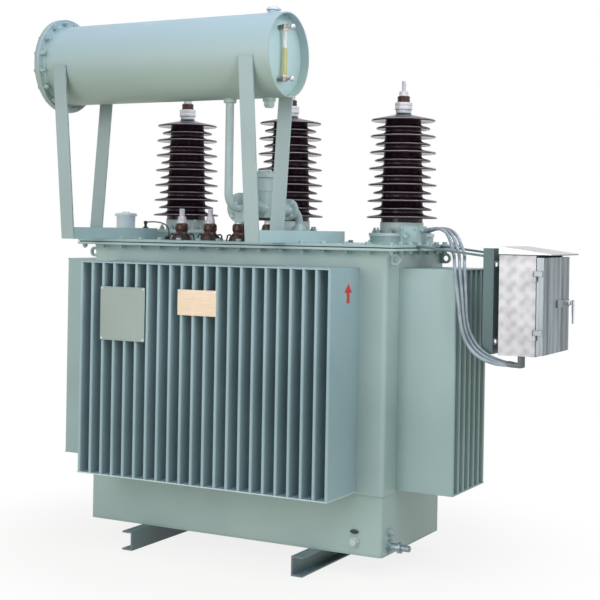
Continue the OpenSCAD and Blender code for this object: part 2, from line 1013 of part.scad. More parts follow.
hinge_back = 2;
hinge_gap = 1;
hinge_x = box_front - hinge_back;
hinge_y = -box_w / 2 - knuckle_d / 2 - hinge_gap;
hinge_low = 83;
hinge_high = 81;
hinge_z = [box_z + hinge_low, box_top - hinge_high];
leaf_l = 16;

module terminal_box() {
    color(steel) {
        difference() {
            translate([box_x, -box_w / 2, box_z])
                cube([box_d, box_w, box_h]);
            translate([box_x + sheet_t, -box_w / 2 + sheet_t, box_z + sheet_t])
                cube([box_d, box_w - 2 * sheet_t, box_h - 2 * sheet_t]);
        }
        for (z = hinge_z) {
            translate([hinge_x, hinge_y, z - knuckle_l])
                cylinder(d = knuckle_d, h = knuckle_l);
            translate([hinge_x, hinge_y, z - knuckle_l])
                cylinder(d = pin_d, h = 2 * knuckle_l);
            translate([hinge_x - leaf_l, hinge_y, z - knuckle_l])
                cube([leaf_l, -box_w / 2 - hinge_y, knuckle_l]);
        }
    }
}

hood_side = 8;
hood_edge = 5;

module box_hood() {
    tip = box_front + door_d + hood_reach;
    color(steel)
        translate([0, box_w / 2 + hood_side, 0])
            rotate([90, 0, 0])
                linear_extrude(box_w + 2 * hood_side)
                    polygon([[box_x, box_top], [tip, box_top], [tip, box_top + hood_edge],
                        [box_x, box_top + hood_fall]]);
}

door_lift = 6;
door_drop = 8;
door_low = box_z + door_lift;
door_high = box_top - door_drop;
door_side = 2;
lock_y = 138;
lock_rise = 198;
lock_z = box_z + lock_rise;
lock_t = 6;
lock_w = 150;
lock_h = 30;
lock_end = 16;

// Door: a shallow tray with turned-in edges, knuckles on its near edge and the lock plate
module box_door() {
    w = box_w - 2 * door_side;
    color(steel) {
        difference() {
            translate([door_x, -w / 2, door_low])
                cube([door_d, w, door_high - door_low]);
            translate([door_x - cut, -w / 2 + sheet_t, door_low + sheet_t])
                cube([door_d - sheet_t + cut, w - 2 * sheet_t, door_high - door_low - 2 * sheet_t]);
        }
        for (z = hinge_z) {
            difference() {
                union() {
                    translate([hinge_x, hinge_y, z + hinge_gap])
                        cylinder(d = knuckle_d, h = knuckle_l);
                    translate([hinge_x, hinge_y - knuckle_d / 2, z + hinge_gap])
                        cube([door_x + door_d - hinge_x, sheet_t, knuckle_l]);
                    translate([door_x + door_d - sheet_t, hinge_y - knuckle_d / 2, z + hinge_gap])
                        cube([sheet_t, -w / 2 - hinge_y + knuckle_d / 2 + sheet_t, knuckle_l]);
                }
                translate([hinge_x, hinge_y, z])
                    cylinder(d = pin_d + 2 * pin_clear, h = knuckle_l + 2 * hinge_gap);
            }
        }
        translate([door_x + door_d, lock_y + lock_end - lock_w, lock_z - lock_h / 2])
            cube([lock_t, lock_w, lock_h]);
    }
}

lever_l = 84;
lever_w = 24;
lever_t = 11;
spindle_d = 26;
spindle_l = 26;

// Latch lever hanging from its spindle
module door_handle() {
    color(steel)
        translate([door_x + door_d + lock_t + seat, lock_y, lock_z]) {
            rotate([0, 90, 0])
                cylinder(d = spindle_d, h = spindle_l);
            translate([spindle_l - lever_t, -lever_w / 2, -lever_l])
                cube([lever_t, lever_w, lever_l]);
        }
}

// Route of the first lead from the small box over the rim and down to the terminal box
lead_route = [
    [720, 62, 1378], [752, 60, 1386], [784, 50, 1388], [814, 34, 1382], [842, 12, 1366],
    [864, -14, 1344], [884, -42, 1316], [904, -74, 1292], [923, -112, 1274], [941, -154, 1257],
    [956, -189, 1232], [968, -207, 1189], [976, -209, 1136], [983, -209, 1084], [990, -209, 1032],
    [1001, -209, 982], [1023, -207, 936], [1062, -208, 897], [1122, -192, 870], [1192, -158, 862]
];
lead_step = [0, 18, 0];
lead_fan = [18, 0, 0];
lead_sag = [-8, 0, 16];
sag_skew = 2.5;
lead_count = 3;

// The leads fan out on the way down and sag less the further out they start
function lead_path(i) = [for (k = [0 : len(lead_route) - 1])
    let (t = k / (len(lead_route) - 1))
    lead_route[k] + i * (lead_step + sin(180 * t) * lead_fan + sin(180 * pow(t, sag_skew)) * lead_sag)];
lead_start = lead_route[0];
lead_end = lead_route[len(lead_route) - 1];

gland_d = 17;
gland_l = 26;

// Elbow glands under the box, each with its socket towards the lead
module cable_glands() {
    color(dark)
        for (i = [0 : lead_count - 1])
            translate(lead_end + i * lead_step) {
                rotate([0, 90, 0])
                    cylinder(d = gland_d, h = gland_l);
                translate([gland_l, 0, -gland_d / 2])
                    cylinder(d = gland_d, h = box_z - lead_end[2] + gland_d / 2);
            }
}

// Tube of n sides through the points of a path, one ring at each point
function unit(v) = v / norm(v);
function tangent(path, i) = unit(path[min(i + 1, len(path) - 1)] - path[max(i - 1, 0)]);
function ring(path, i, r, n) =
    let (t = tangent(path, i), u = unit(cross(t, [0.3, 1, 0.2])), v = cross(t, u))
    [for (k = [0 : n - 1]) path[i] + r * (cos(360 * k / n) * u + sin(360 * k / n) * v)];

module tube(path, d, n) {
    last = len(path) - 1;
    points = [for (i = [0 : last]) each ring(path, i, d / 2, n)];
    sides = [for (i = [0 : last - 1], k = [0 : n - 1])
        [i * n + k, i * n + (k + 1) % n, (i + 1) * n + (k + 1) % n, (i + 1) * n + k]];
    caps = [[for (k = [n - 1 : -1 : 0]) k], [for (k = [0 : n - 1]) last * n + k]];
    polyhedron(points = points, faces = concat(sides, caps), convexity = 6);
}

module lead_a() {
    color([0.75, 0.77, 0.8])
        tube(lead_path(0), lead_d, 8);
}

module lead_b() {
    color([0.75, 0.77, 0.8])
        tube(lead_path(1), lead_d, 8);
}

module lead_c() {
    color([0.75, 0.77, 0.8])
        tube(lead_path(2), lead_d, 8);
}

base_rails();
tank_floor();
tank_walls();
cover_gasket();
tank_cover();
fins_front();
fins_back();
fins_left();
fins_right();
lifting_lugs();
hv_turrets();
hv_flanges();
hv_porcelain();
hv_terminals();
lv_rings();
lv_porcelain();
lv_terminals();
conservator_shell();
conservator_flange();
conservator_end();
cradle_rails();
cradle_front_legs();
cradle_back_legs();
breather_cap();
sediment_plug();
gauge_fittings();
gauge_glass();
oil_pipe();
gas_relay();
relay_elbow();
relief_can();
drain_valve();
earth_stud();
badge_plate();
nameplate();
ct_box();
box_arms();
box_bracket();
terminal_box();
box_hood();
box_door();
door_handle();
cable_glands();
lead_a();
lead_b();
lead_c();
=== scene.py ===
# %% [markdown]
# # Dressing an oil-filled distribution transformer
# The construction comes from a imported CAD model: tank, fins, cover, bushings, conservator and
# terminal box. This lesson gives each of them the surface it has on a finished unit, and models
# the small things that a maker adds at the end: bolts, clamps, weld beads, plates and leads.
# Everything is in metres, in the frame of the CAD model: X to the right, front at -Y, Z up.

# %% Load the frame
import math

import bpy
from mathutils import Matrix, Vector


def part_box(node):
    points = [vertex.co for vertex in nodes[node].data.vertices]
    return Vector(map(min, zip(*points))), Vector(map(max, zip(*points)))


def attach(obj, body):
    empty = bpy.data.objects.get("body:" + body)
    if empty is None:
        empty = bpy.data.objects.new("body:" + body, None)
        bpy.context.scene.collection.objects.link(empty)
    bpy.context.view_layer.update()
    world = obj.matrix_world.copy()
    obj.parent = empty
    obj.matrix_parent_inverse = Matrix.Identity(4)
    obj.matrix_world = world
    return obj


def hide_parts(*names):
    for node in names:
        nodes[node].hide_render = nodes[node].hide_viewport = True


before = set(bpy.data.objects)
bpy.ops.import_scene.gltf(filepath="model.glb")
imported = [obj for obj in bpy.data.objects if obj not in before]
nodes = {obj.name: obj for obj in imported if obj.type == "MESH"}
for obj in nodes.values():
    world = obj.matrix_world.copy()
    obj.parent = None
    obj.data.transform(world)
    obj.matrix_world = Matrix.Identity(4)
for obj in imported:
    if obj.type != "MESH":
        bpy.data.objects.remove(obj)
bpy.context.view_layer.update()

# %% [markdown]
# The camera comes first, because every later choice is judged through it. It was found by fitting
# the straight edges of the tank to the photograph: an almost level camera about 5.8 m away, 28
# degrees round to the right and at the height of the cover. A level camera keeps upright edges
# upright, so the picture is moved down on the sensor instead of tilting the camera.

# %% The camera
CAMERA_AT = (2.8581, -5.0443, 1.3748)
CAMERA_TURN = (90.0, -0.94, 28.12)
SENSOR_WIDTH, LENS, PICTURE_SHIFT, FAR_LIMIT = 36.0, 79.01, -0.1174, 80.0

bpy.ops.object.camera_add(location=CAMERA_AT, rotation=[math.radians(a) for a in CAMERA_TURN])
camera = bpy.context.object
camera.name = "photo_camera"
camera.data.sensor_width = SENSOR_WIDTH
camera.data.lens = LENS
camera.data.shift_y = PICTURE_SHIFT
camera.data.clip_end = FAR_LIMIT
bpy.context.scene.camera = camera
print("camera lens:", round(camera.data.lens, 2), "mm")

# %% [markdown]
# Three leads run from the small box on the right turret over the edge of the cover and down to
# the terminal box. A cable keeps its length and its bend radius, so each starts as one curve
# through the same route points as the CAD tube, with automatic handles for a smooth run, and is
# then made a mesh. They lie a little apart, as stiff jacketed cable does.

# %% The leads
LEAD_ROUTE = [
    (0.720, 0.062, 1.378), (0.752, 0.060, 1.386), (0.784, 0.050, 1.388), (0.814, 0.034, 1.382),
    (0.842, 0.012, 1.366), (0.864, -0.014, 1.344), (0.884, -0.042, 1.316), (0.904, -0.074, 1.292),
    (0.923, -0.112, 1.274), (0.941, -0.154, 1.257), (0.956, -0.189, 1.232), (0.968, -0.207, 1.189),
    (0.976, -0.209, 1.136), (0.983, -0.209, 1.084), (0.990, -0.209, 1.032), (1.001, -0.209, 0.982),
    (1.023, -0.207, 0.936), (1.062, -0.208, 0.897), (1.122, -0.192, 0.870), (1.192, -0.158, 0.862),
]
LEAD_STEP = Vector((0.0, 0.018, 0.0))
LEAD_FAN = Vector((0.018, 0.0, 0.0))
LEAD_SAG = Vector((-0.008, 0.0, 0.016))
SAG_SKEW = 2.5
LEAD_DIAMETER = 0.014


def lead_points(number):
    """Route of one lead: the first route, moved over, fanned out and less sagged."""
    last = len(LEAD_ROUTE) - 1
    points = []
    for k, point in enumerate(LEAD_ROUTE):
        fan = math.sin(math.pi * k / last) * LEAD_FAN
        sag = math.sin(math.pi * (k / last) ** SAG_SKEW) * LEAD_SAG
        points.append(Vector(point) + number * (LEAD_STEP + fan + sag))
    return points


def clear_selection():
    bpy.ops.object.select_all(action="DESELECT")


def choose(piece):
    """Selects one object alone and makes it active."""
    clear_selection()
    piece.select_set(True)
    bpy.context.view_layer.objects.active = piece


def cable(name, points, diameter):
    """A round cable along a smooth curve through the points, and the points along its middle."""
    curve = bpy.data.curves.new(name, "CURVE")
    curve.dimensions = "3D"
    curve.resolution_u = 6
    spline = curve.splines.new("BEZIER")
    spline.bezier_points.add(len(points) - 1)
    for knot, point in zip(spline.bezier_points, points):
        knot.co = point
        knot.handle_left_type = knot.handle_right_type = "AUTO"
    piece = bpy.data.objects.new(name, curve)
    bpy.context.scene.collection.objects.link(piece)
    choose(piece)
    middle = [v.co.copy() for v in piece.to_mesh().vertices]
    piece.to_mesh_clear()
    curve.bevel_depth = diameter / 2
    curve.bevel_resolution = 3
    curve.use_fill_caps = True
    bpy.ops.object.convert(target="MESH")
    bpy.ops.object.shade_smooth_by_angle(angle=math.radians(50))
    return bpy.context.object, middle


def run_of(points):
    """Length of a line through the points."""
    return sum((b - a).length for a, b in zip(points, points[1:]))


leads = []
for number, letter in enumerate("abc"):
    lead, middle = cable("lead_jacket_" + letter, lead_points(number), LEAD_DIAMETER)
    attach(lead, "main")
    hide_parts("lead_" + letter)
    leads.append(lead)
    print(lead.name, "length", round(run_of(middle), 3), "m")

# %% [markdown]
# One short black wire stands on the cover: it comes up out of a socket, bends over and ends at
# a small stud on the cradle's channel. It is stiff enough to keep its bow, so it is a curve through
# a few points from socket to stud, handled like the leads. Socket and stud are modelled later.

# %% The short wire
WIRE_ROUTE = [
    (-0.472, -0.084, 1.330), (-0.466, -0.081, 1.342), (-0.466, -0.079, 1.358),
    (-0.474, -0.077, 1.374), (-0.488, -0.074, 1.386), (-0.508, -0.069, 1.393),
    (-0.532, -0.061, 1.397), (-0.560, -0.049, 1.399), (-0.590, -0.035, 1.3995),
    (-0.618, -0.022, 1.3985), (-0.640, -0.013, 1.397),
]
WIRE_DIAMETER = 0.006
post_wire, wire_middle = cable("post_wire", [Vector(p) for p in WIRE_ROUTE], WIRE_DIAMETER)
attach(post_wire, "main")
print("short wire:", round(run_of(wire_middle), 3), "m")

# %% [markdown]
# A finish is a small network of shader nodes. Writing it as arithmetic is easier to read than
# wiring it by name, so one class wraps a socket: sums, products and comparisons of wires add the
# Math nodes, and node() adds any other kind. Colours are mixed by Mix nodes, never by Math.

# %% Shader arithmetic
class Wire:
    """One socket of a node tree. Arithmetic on wires adds the Math nodes that work it out."""

    def __init__(self, tree, socket=None):
        self.tree = tree
        self.socket = socket

    def node(self, kind, sockets=None, out=0, **settings):
        """A new node with its inputs and settings, as the wire that leaves it."""
        made = self.tree.nodes.new(kind)
        for name, value in settings.items():
            setattr(made, name, value)
        for key, value in (sockets or {}).items():
            if isinstance(value, Wire):
                self.tree.links.new(value.socket, made.inputs[key])
            else:
                made.inputs[key].default_value = value
        return Wire(self.tree, made.outputs[out] if len(made.outputs) else None)

    def math(self, operation, *others, swap=False):
        values = [self, *others]
        if swap:
            values.reverse()
        return self.node("ShaderNodeMath", dict(enumerate(values)), operation=operation)

    def __add__(self, other):
        return self.math("ADD", other)

    def __sub__(self, other):
        return self.math("SUBTRACT", other)

    def __rsub__(self, other):
        return self.math("SUBTRACT", other, swap=True)

    def __mul__(self, other):
        return self.math("MULTIPLY", other)

    def __gt__(self, other):
        return self.math("GREATER_THAN", other)

    def __lt__(self, other):
        return self.math("LESS_THAN", other)

    __radd__ = __add__
    __rmul__ = __mul__

    def between(self, low, high):
        """Runs smoothly from 0 at low to 1 at high."""
        return self.node("ShaderNodeMapRange", {"Value": self, "From Min": low, "From Max": high},
                         interpolation_type="SMOOTHSTEP")

    def mix(self, low, high):
        """A colour between two colours, by this wire."""
        return self.node("ShaderNodeMix", {0: self, 6: low, 7: high}, out=2, data_type="RGBA")


def srgb(red, green, blue):
    """A colour as it is read off a picture, 0 to 255, made linear."""
    def linear(value):
        value /= 255
        return value / 12.92 if value <= 0.04045 else ((value + 0.055) / 1.055) ** 2.4
    return (linear(red), linear(green), linear(blue), 1.0)


print("shader arithmetic ready")

# %% [markdown]
# The stage is a white studio: a wide floor, an even room light, a large soft lamp at the front
# left, a cooler one overhead at the right and a narrow one that lifts what stands on the cover.
# The camera sees the room as white, and so do mirrors and glass, while the light that falls on
# the object stays at a plain level. The floor is a warm grey that goes over into the white of the
# room further out, and keeps a soft shadow close to the base channels.

# %% Room, floor and lamps
ROOM_LIGHT = 0.5
ROOM_TINT, WHITE, FLOOR_TINT = (0.90, 0.98, 1.0, 1), (1, 1, 1, 1), (0.78, 0.75, 0.63, 1)
FLOOR_SIZE, FLOOR_DROP, FLOOR_WHITE, SHADOW_END, WHITE_FROM = 60.0, 0.0005, 0.84, 0.8, 1.7


def finish(name):
    """A new, empty material, the pen that draws its nodes, and the place on the object."""
    material = bpy.data.materials.new(name)
    material.use_nodes = True
    material.node_tree.nodes.clear()
    pen = Wire(material.node_tree)
    return material, pen, pen.node("ShaderNodeTexCoord", out="Object")


def seen_directly(pen):
    """1 for rays from the camera, from mirrors and through glass, otherwise 0."""
    camera_ray, glossy_ray, glass_ray = (
        pen.node("ShaderNodeLightPath", out=f"Is {kind} Ray")
        for kind in ("Camera", "Glossy", "Transmission"))
    return (camera_ray + glossy_ray + glass_ray).math("MINIMUM", 1.0)


world = bpy.data.worlds.new("white_room")
bpy.context.scene.world = world
world.use_nodes = True
world.node_tree.nodes.clear()
pen = Wire(world.node_tree)
seen = seen_directly(pen)
tint = seen.mix(ROOM_TINT, WHITE)
room = pen.node("ShaderNodeBackground",
                {"Color": tint, "Strength": seen * (1 - ROOM_LIGHT) + ROOM_LIGHT})
pen.node("ShaderNodeOutputWorld", {"Surface": room})

clear_selection()
bpy.ops.mesh.primitive_plane_add(size=FLOOR_SIZE, location=(0, 0, -FLOOR_DROP))
floor = bpy.context.object
floor.name = "studio_floor"
bpy.ops.object.transform_apply(location=True)
floor_paint, pen, place = finish("floor_paint")
matte = pen.node("ShaderNodeBsdfDiffuse", {"Color": FLOOR_TINT})
glow = pen.node("ShaderNodeEmission", {"Color": WHITE, "Strength": 1.0})
away = pen.node("ShaderNodeVectorMath", {0: place}, operation="LENGTH", out="Value")
far = away.between(SHADOW_END, WHITE_FROM)
white = seen_directly(pen) * (FLOOR_WHITE + (1 - FLOOR_WHITE) * far)
pen.node("ShaderNodeOutputMaterial",
         {"Surface": pen.node("ShaderNodeMixShader", {0: white, 1: matte, 2: glow})})
floor.data.materials.append(floor_paint)


def soft_lamp(name, place, target, size, power, tint=(1.0, 1.0, 1.0), beam=180.0):
    """A square soft lamp that faces a point. A grid in front of it narrows its beam."""
    aim = (Vector(target) - Vector(place)).to_track_quat("-Z", "Y").to_euler()
    bpy.ops.object.light_add(type="AREA", location=place, rotation=aim)
    lamp = bpy.context.object
    lamp.name = name
    lamp.data.size = size
    lamp.data.energy = power
    lamp.data.color = tint
    lamp.data.spread = math.radians(beam)
    return lamp


soft_lamp("key_lamp", (-1.2, -6.2, 2.6), (0.0, 0.0, 1.1), size=4.5, power=165.0)
soft_lamp("top_lamp", (2.6, -1.2, 6.0), (0.2, -0.2, 1.4), size=5.0, power=190.0,
          tint=(0.81, 0.95, 1.04))
upper = soft_lamp("upper_lamp", (4.2, -2.2, 2.2), (0.25, -0.2, 1.85), size=1.2, power=3.6,
                  beam=26.0)
upper.visible_glossy = False
bpy.context.scene.view_settings.view_transform = "Standard"

# %% [markdown]
# Most of the unit is sprayed with a grey green enamel. Pieces come from several shops and
# batches, so fins, legs and plates differ a little in tint. The walls, the sleeves, the dished end
# and the cradle channels have paler enamels that are painted light, the bracket a darker one that
# is painted shade, the conservator a bluer sheen painted on its upper part and the front fins a
# highlight painted along their lower edge. Sprayed enamel is never quite even: it drifts a little
# over a large plate, has the fine ripple that painters call orange peel, and its edges are rounded
# by the film. A Bevel node rounds the edges for the light alone, as a CAD body's own mesh must not
# be touched.

# %% Grey green enamel
def surface(pen, **sockets):
    """Closes a material with one shader. Socket names have underscores for spaces."""
    named = {name.replace("_", " "): value for name, value in sockets.items()}
    shader = pen.node("ShaderNodeBsdfPrincipled", named)
    pen.node("ShaderNodeOutputMaterial", {"Surface": shader})


def axis(pen, place, letter):
    """One of the three coordinates of a place."""
    return pen.node("ShaderNodeSeparateXYZ", {"Vector": place}, out=letter)


def grain(pen, place, scale, detail=2.0, stretch=None):
    """Noise from 0 to 1, drawn out along the axes by stretch."""
    if stretch:
        place = pen.node("ShaderNodeVectorMath", {0: place, 1: stretch}, operation="MULTIPLY")
    return pen.node("ShaderNodeTexNoise", {"Vector": place, "Scale": scale, "Detail": detail},
                    out="Fac")


def rounded(pen, radius):
    """A normal that rounds off the edges."""
    return pen.node("ShaderNodeBevel", {"Radius": radius}, samples=4)


def bumped(pen, height, strength, distance, normal=None):
    """A normal bumped by a height."""
    sockets = {"Height": height, "Strength": strength, "Distance": distance}
    if normal:
        sockets["Normal"] = normal
    return pen.node("ShaderNodeBump", sockets)


BELOW_ALL, ABOVE_ALL, FIN_HIGHLIGHT_RISE = -9.0, 9.0, 0.005


def enamel(name, light, dark, highlight_z=BELOW_ALL, sky_sheen=None):
    """Sprayed enamel that drifts between two tints. Below highlight_z a paler colour is painted on
    as a highlight. sky_sheen gives two heights and a bluer tint, painted in between them and above
    as sheen."""
    material, pen, place = finish(name)
    drift = grain(pen, place, 2.2, 3.0)
    peel = grain(pen, place, 420.0, 1.0)
    dust = grain(pen, place, 26.0, 5.0)
    tint = drift.between(0.3, 0.7).mix(dark, light)
    dust_and_sheen = (dust.between(0.52, 0.8) * 0.25).mix(tint, light)
    height = axis(pen, place, "Z")
    # A painted highlight: below highlight_z the colour turns paler, more so where the dust noise is
    # high.
    dust_and_sheen = ((height < highlight_z) * (0.35 + 0.65 * dust)).mix(dust_and_sheen, srgb(214, 222, 221))
    if sky_sheen:
        # A painted sheen: between the two heights the paint turns to a bluer tint, as sky light on
        # the top.
        dust_and_sheen = height.between(*sky_sheen[:2]).mix(dust_and_sheen, sky_sheen[2])
    surface(pen, Base_Color=dust_and_sheen, Roughness=0.34 + 0.12 * drift + 0.06 * dust,
            Specular_IOR_Level=0.45, Normal=bumped(pen, peel, 0.08, 0.0008, rounded(pen, 0.0025)))
    return material


tank_enamel = enamel("tank_enamel", srgb(158, 178, 178), srgb(147, 168, 168))
# Paler than the tank's enamel: light painted into the walls, lifting the band shaded by the cover.
wall_painted_light_enamel = enamel("wall_painted_light_enamel", srgb(166, 184, 182), srgb(155, 174, 172))
# Paler, bluer enamel painted as light on the shaded dished end and cradle channels.
pale_painted_light_enamel = enamel("pale_painted_light_enamel", srgb(165, 188, 191), srgb(154, 178, 181))
# A darker enamel: shade painted into the bracket and its arms.
bracket_painted_shade_enamel = enamel("bracket_painted_shade_enamel", srgb(89, 110, 111), srgb(80, 100, 101))
# Paler enamel painted as light on the sleeves shaded by the sheds, and as a highlight on the earth
# stud.
sleeve_painted_light_enamel = enamel("sleeve_painted_light_enamel", srgb(188, 200, 199), srgb(176, 190, 189))
# The conservator gets a bluer sheen painted on its upper part.
vessel_enamel = enamel("vessel_enamel", srgb(152, 167, 160), srgb(145, 160, 153),
                       sky_sheen=(1.94, 2.24, srgb(158, 178, 189)))
frame_enamel = enamel("frame_enamel", srgb(152, 167, 168), srgb(143, 158, 159))
plate_enamel = enamel("plate_enamel", srgb(155, 166, 161), srgb(146, 157, 152))
# The front fins get a highlight painted along their lower edge.
fin_enamel = enamel("fin_enamel", srgb(156, 177, 184), srgb(145, 167, 174),
                    highlight_z=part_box("fins_front")[0][2] + FIN_HIGHLIGHT_RISE)
rail_enamel = enamel("rail_enamel", srgb(124, 143, 148), srgb(96, 113, 119))
grey_enamel = enamel("grey_enamel", srgb(202, 210, 218), srgb(188, 196, 205))
print("enamels:", sorted(m.name for m in bpy.data.materials if m.name.endswith("_enamel")))

# %% [markdown]
# The bushings are wet-process porcelain with a dark brown glaze. Glaze runs while it is molten,
# so it is thin and a little redder on edges and pools in streaks down the core. Its gloss comes
# from a fairly smooth base. On the upper edge of each shed's lip a pale colour is painted as a
# highlight, so the mesh of the sheds carries a value called lip_highlight, which is 1 there, and
# the glaze reads it.

# %% Porcelain glaze
def glaze(name, deep, thin):
    """Glaze that runs from a deep to a thin colour, with a highlight painted pale on the lips."""
    material, pen, place = finish(name)
    runs = grain(pen, place, 9.0, 4.0, (6.0, 6.0, 1.0))
    specks = grain(pen, place, 340.0, 2.0)
    lip_highlight = pen.node("ShaderNodeAttribute", out="Fac", attribute_name="lip_highlight")
    colour = (runs.between(0.35, 0.75) * 0.8 + specks.between(0.6, 0.85) * 0.2).mix(deep, thin)
    # The painted highlight: where lip_highlight is 1 the glaze turns pale.
    colour = lip_highlight.mix(colour, srgb(158, 144, 154))
    surface(pen, Base_Color=colour, Roughness=0.14 + 0.1 * runs, Specular_IOR_Level=0.28,
            Normal=bumped(pen, runs, 0.05, 0.001))
    return material


brown_glaze = glaze("brown_glaze", srgb(32, 20, 28), srgb(50, 33, 41))
tea_glaze = glaze("tea_glaze", srgb(60, 36, 33), srgb(86, 55, 49))
print("made", brown_glaze.name, tea_glaze.name)

# %% [markdown]
# Metal comes in several kinds here: plated, tinned and zinc-coated fittings, dark and brown
# castings, nickel, polished chrome and brass. All share one recipe, a metallic base with a
# stretched scratch pattern in roughness and bump, and differ in colour, gloss and direction.

# %% Bare metals
def metal(name, light, dark, gloss, scratch=(1.0, 1.0, 1.0), fineness=90.0, relief=0.05,
          metallic=1.0):
    """Metal between two tints, its scratches drawn out along the axes."""
    material, pen, place = finish(name)
    streak = grain(pen, place, fineness, 3.0, scratch)
    cloud = grain(pen, place, 11.0, 3.0)
    colour = (0.55 * streak + 0.45 * cloud).between(0.3, 0.7).mix(dark, light)
    surface(pen, Base_Color=colour, Metallic=metallic, Roughness=gloss + 0.16 * streak,
            Normal=bumped(pen, streak, relief, 0.0005, rounded(pen, 0.001)))
    return material


plated_steel = metal("plated_steel", srgb(226, 224, 228), srgb(190, 188, 194), 0.2)
dark_casting = metal("dark_casting", srgb(70, 70, 72), srgb(38, 38, 40), 0.42,
                     fineness=220.0, relief=0.2, metallic=0.7)
brown_casting = metal("brown_casting", srgb(75, 50, 47), srgb(42, 28, 28), 0.34,
                      fineness=220.0, relief=0.2, metallic=0.25)
polished_chrome = metal("polished_chrome", srgb(232, 233, 236), srgb(206, 208, 214), 0.06)
brass_sheet = metal("brass_sheet", srgb(224, 203, 181), srgb(208, 185, 161), 0.34,
                    scratch=(1.0, 1.0, 30.0), fineness=12.0, metallic=0.35)
tinned_steel = metal("tinned_steel", srgb(220, 215, 220), srgb(194, 189, 196), 0.42, metallic=0.5)
zinc_grey = metal("zinc_grey", srgb(164, 177, 184), srgb(112, 126, 133), 0.3, metallic=0.6)
dull_nickel = metal("dull_nickel", srgb(186, 184, 178), srgb(120, 118, 114), 0.26)
print("made", plated_steel.name, dark_casting.name, brown_casting.name, polished_chrome.name,
      brass_sheet.name, tinned_steel.name, zinc_grey.name, dull_nickel.name)

# %% [markdown]
# The terminal box is stainless sheet. Its sides are swirl-ground: a turning pad is set down in
# rows, and each patch of fine rings catches the light as a soft bow tie, which is painted into the
# colour as a reflection. The door is brushed upright instead. The swirl is a grid of cells, each
# with an angle and a distance from its middle, and a cosine of twice the angle gives the painted
# bow tie. A noise blurs the grid.

# %% Swirl-ground and brushed stainless
SWIRL, FOLD_Y, LOCK_PLATE_X, SHADE_LINE_RISE = 0.052, -0.1674, 1.3113, 0.003


def swirl_sheet(name):
    """Sheet ground in a grid of overlapping swirls, with a bow-tie reflection painted into each."""
    material, pen, place = finish(name)
    x, y, z = (axis(pen, place, letter) for letter in "XYZ")
    u = ((x + y) * (1 / SWIRL)).math("FRACT") - 0.5
    v = (z * (1 / SWIRL)).math("FRACT") - 0.5
    reach = (u * u + v * v).math("SQRT")
    angle = v.math("ARCTAN2", u)
    cloud = grain(pen, place, 16.0, 3.0)
    # A painted reflection: a bow tie of light in each swirl.
    painted_bow_tie = (2 * angle + 0.4 + 2.4 * cloud).math("COSINE") * 0.5 + 0.5
    patch = reach.between(0.0, 0.30) * (1 - reach.between(0.30, 0.66))
    rings = (reach * 95.0).math("SINE") * 0.5 + 0.5
    blotch = grain(pen, place, 26.0, 1.0)
    # The colour mixes the ground pattern with the painted bow tie.
    swirl_and_sheen = painted_bow_tie * patch * 0.20 + reach.between(0.28, 0.62) * 0.20 + blotch * 0.35 + cloud * 0.45
    colour = swirl_and_sheen.between(0.1, 0.9).mix(srgb(166, 162, 168), srgb(214, 210, 213))
    surface(pen, Base_Color=colour, Metallic=0.3, Roughness=0.42 + 0.1 * (1 - swirl_and_sheen) + 0.03 * rings,
            Normal=bumped(pen, rings * patch + cloud, 0.04, 0.0004, rounded(pen, 0.0015)))
    return material


def brushed_sheet(name, light, dark, stretch, edge_y=BELOW_ALL, plate_x=ABOVE_ALL,
                  shade_line_z=BELOW_ALL):
    """Brushed sheet. An edge folded back past edge_y and a plate proud of plate_x are paler, and a
    dark line is painted below shade_line_z as the shadow under the sheet's lower edge."""
    material, pen, place = finish(name)
    fine = grain(pen, place, 260.0, 3.0, stretch)
    broad = grain(pen, place, 30.0, 2.0, stretch)
    streak = (0.45 * fine + 0.55 * broad).between(0.34, 0.66)
    folded = axis(pen, place, "Y") < edge_y
    proud = axis(pen, place, "X") > plate_x
    shade_line = axis(pen, place, "Z") < shade_line_z
    pale = streak.mix(srgb(110, 117, 122), srgb(147, 153, 157))
    colour = folded.math("MAXIMUM", proud).mix(streak.mix(dark, light), pale)
    # A painted shadow: a dark line along the bottom of the sheet, below shade_line_z.
    colour = shade_line.mix(colour, srgb(62, 66, 70))
    surface(pen, Base_Color=colour, Metallic=0.85, Roughness=0.24 + 0.16 * fine,
            Normal=bumped(pen, fine, 0.08, 0.0004, rounded(pen, 0.0015)))
    return material


swirled_stainless = swirl_sheet("swirled_stainless")
brushed_stainless = brushed_sheet("brushed_stainless", srgb(148, 162, 170), srgb(34, 47, 55),
                                  (1.0, 1.0, 0.03), edge_y=FOLD_Y, plate_x=LOCK_PLATE_X)
# The hood gets a painted shadow line along its lower edge.
hood_stainless = brushed_sheet("hood_stainless", srgb(200, 199, 202), srgb(172, 171, 176),
                               (0.05, 1.0, 1.0), shade_line_z=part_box("box_hood")[0][2] + SHADE_LINE_RISE)
print("made", swirled_stainless.name, brushed_stainless.name, hood_stainless.name)

# %% [markdown]
# The rest are soft or clear materials: black gasket sheet and wire, grey moulded glands, the pale
# jackets of the leads, and the gauge glass. The glass is a clear tube with yellow oil in its
# lower part, so its colour changes at the oil level.

# %% Rubber, plastic and gauge glass
OIL_LEVEL = 2.086


def moulded(name, light, dark, gloss, relief):
    """Moulded rubber or plastic with fine pores."""
    material, pen, place = finish(name)
    pores = grain(pen, place, 300.0, 3.0)
    smear = grain(pen, place, 14.0, 3.0)
    surface(pen, Base_Color=smear.between(0.3, 0.7).mix(dark, light),
            Roughness=gloss + 0.12 * smear, Normal=bumped(pen, pores, relief, 0.0004))
    return material


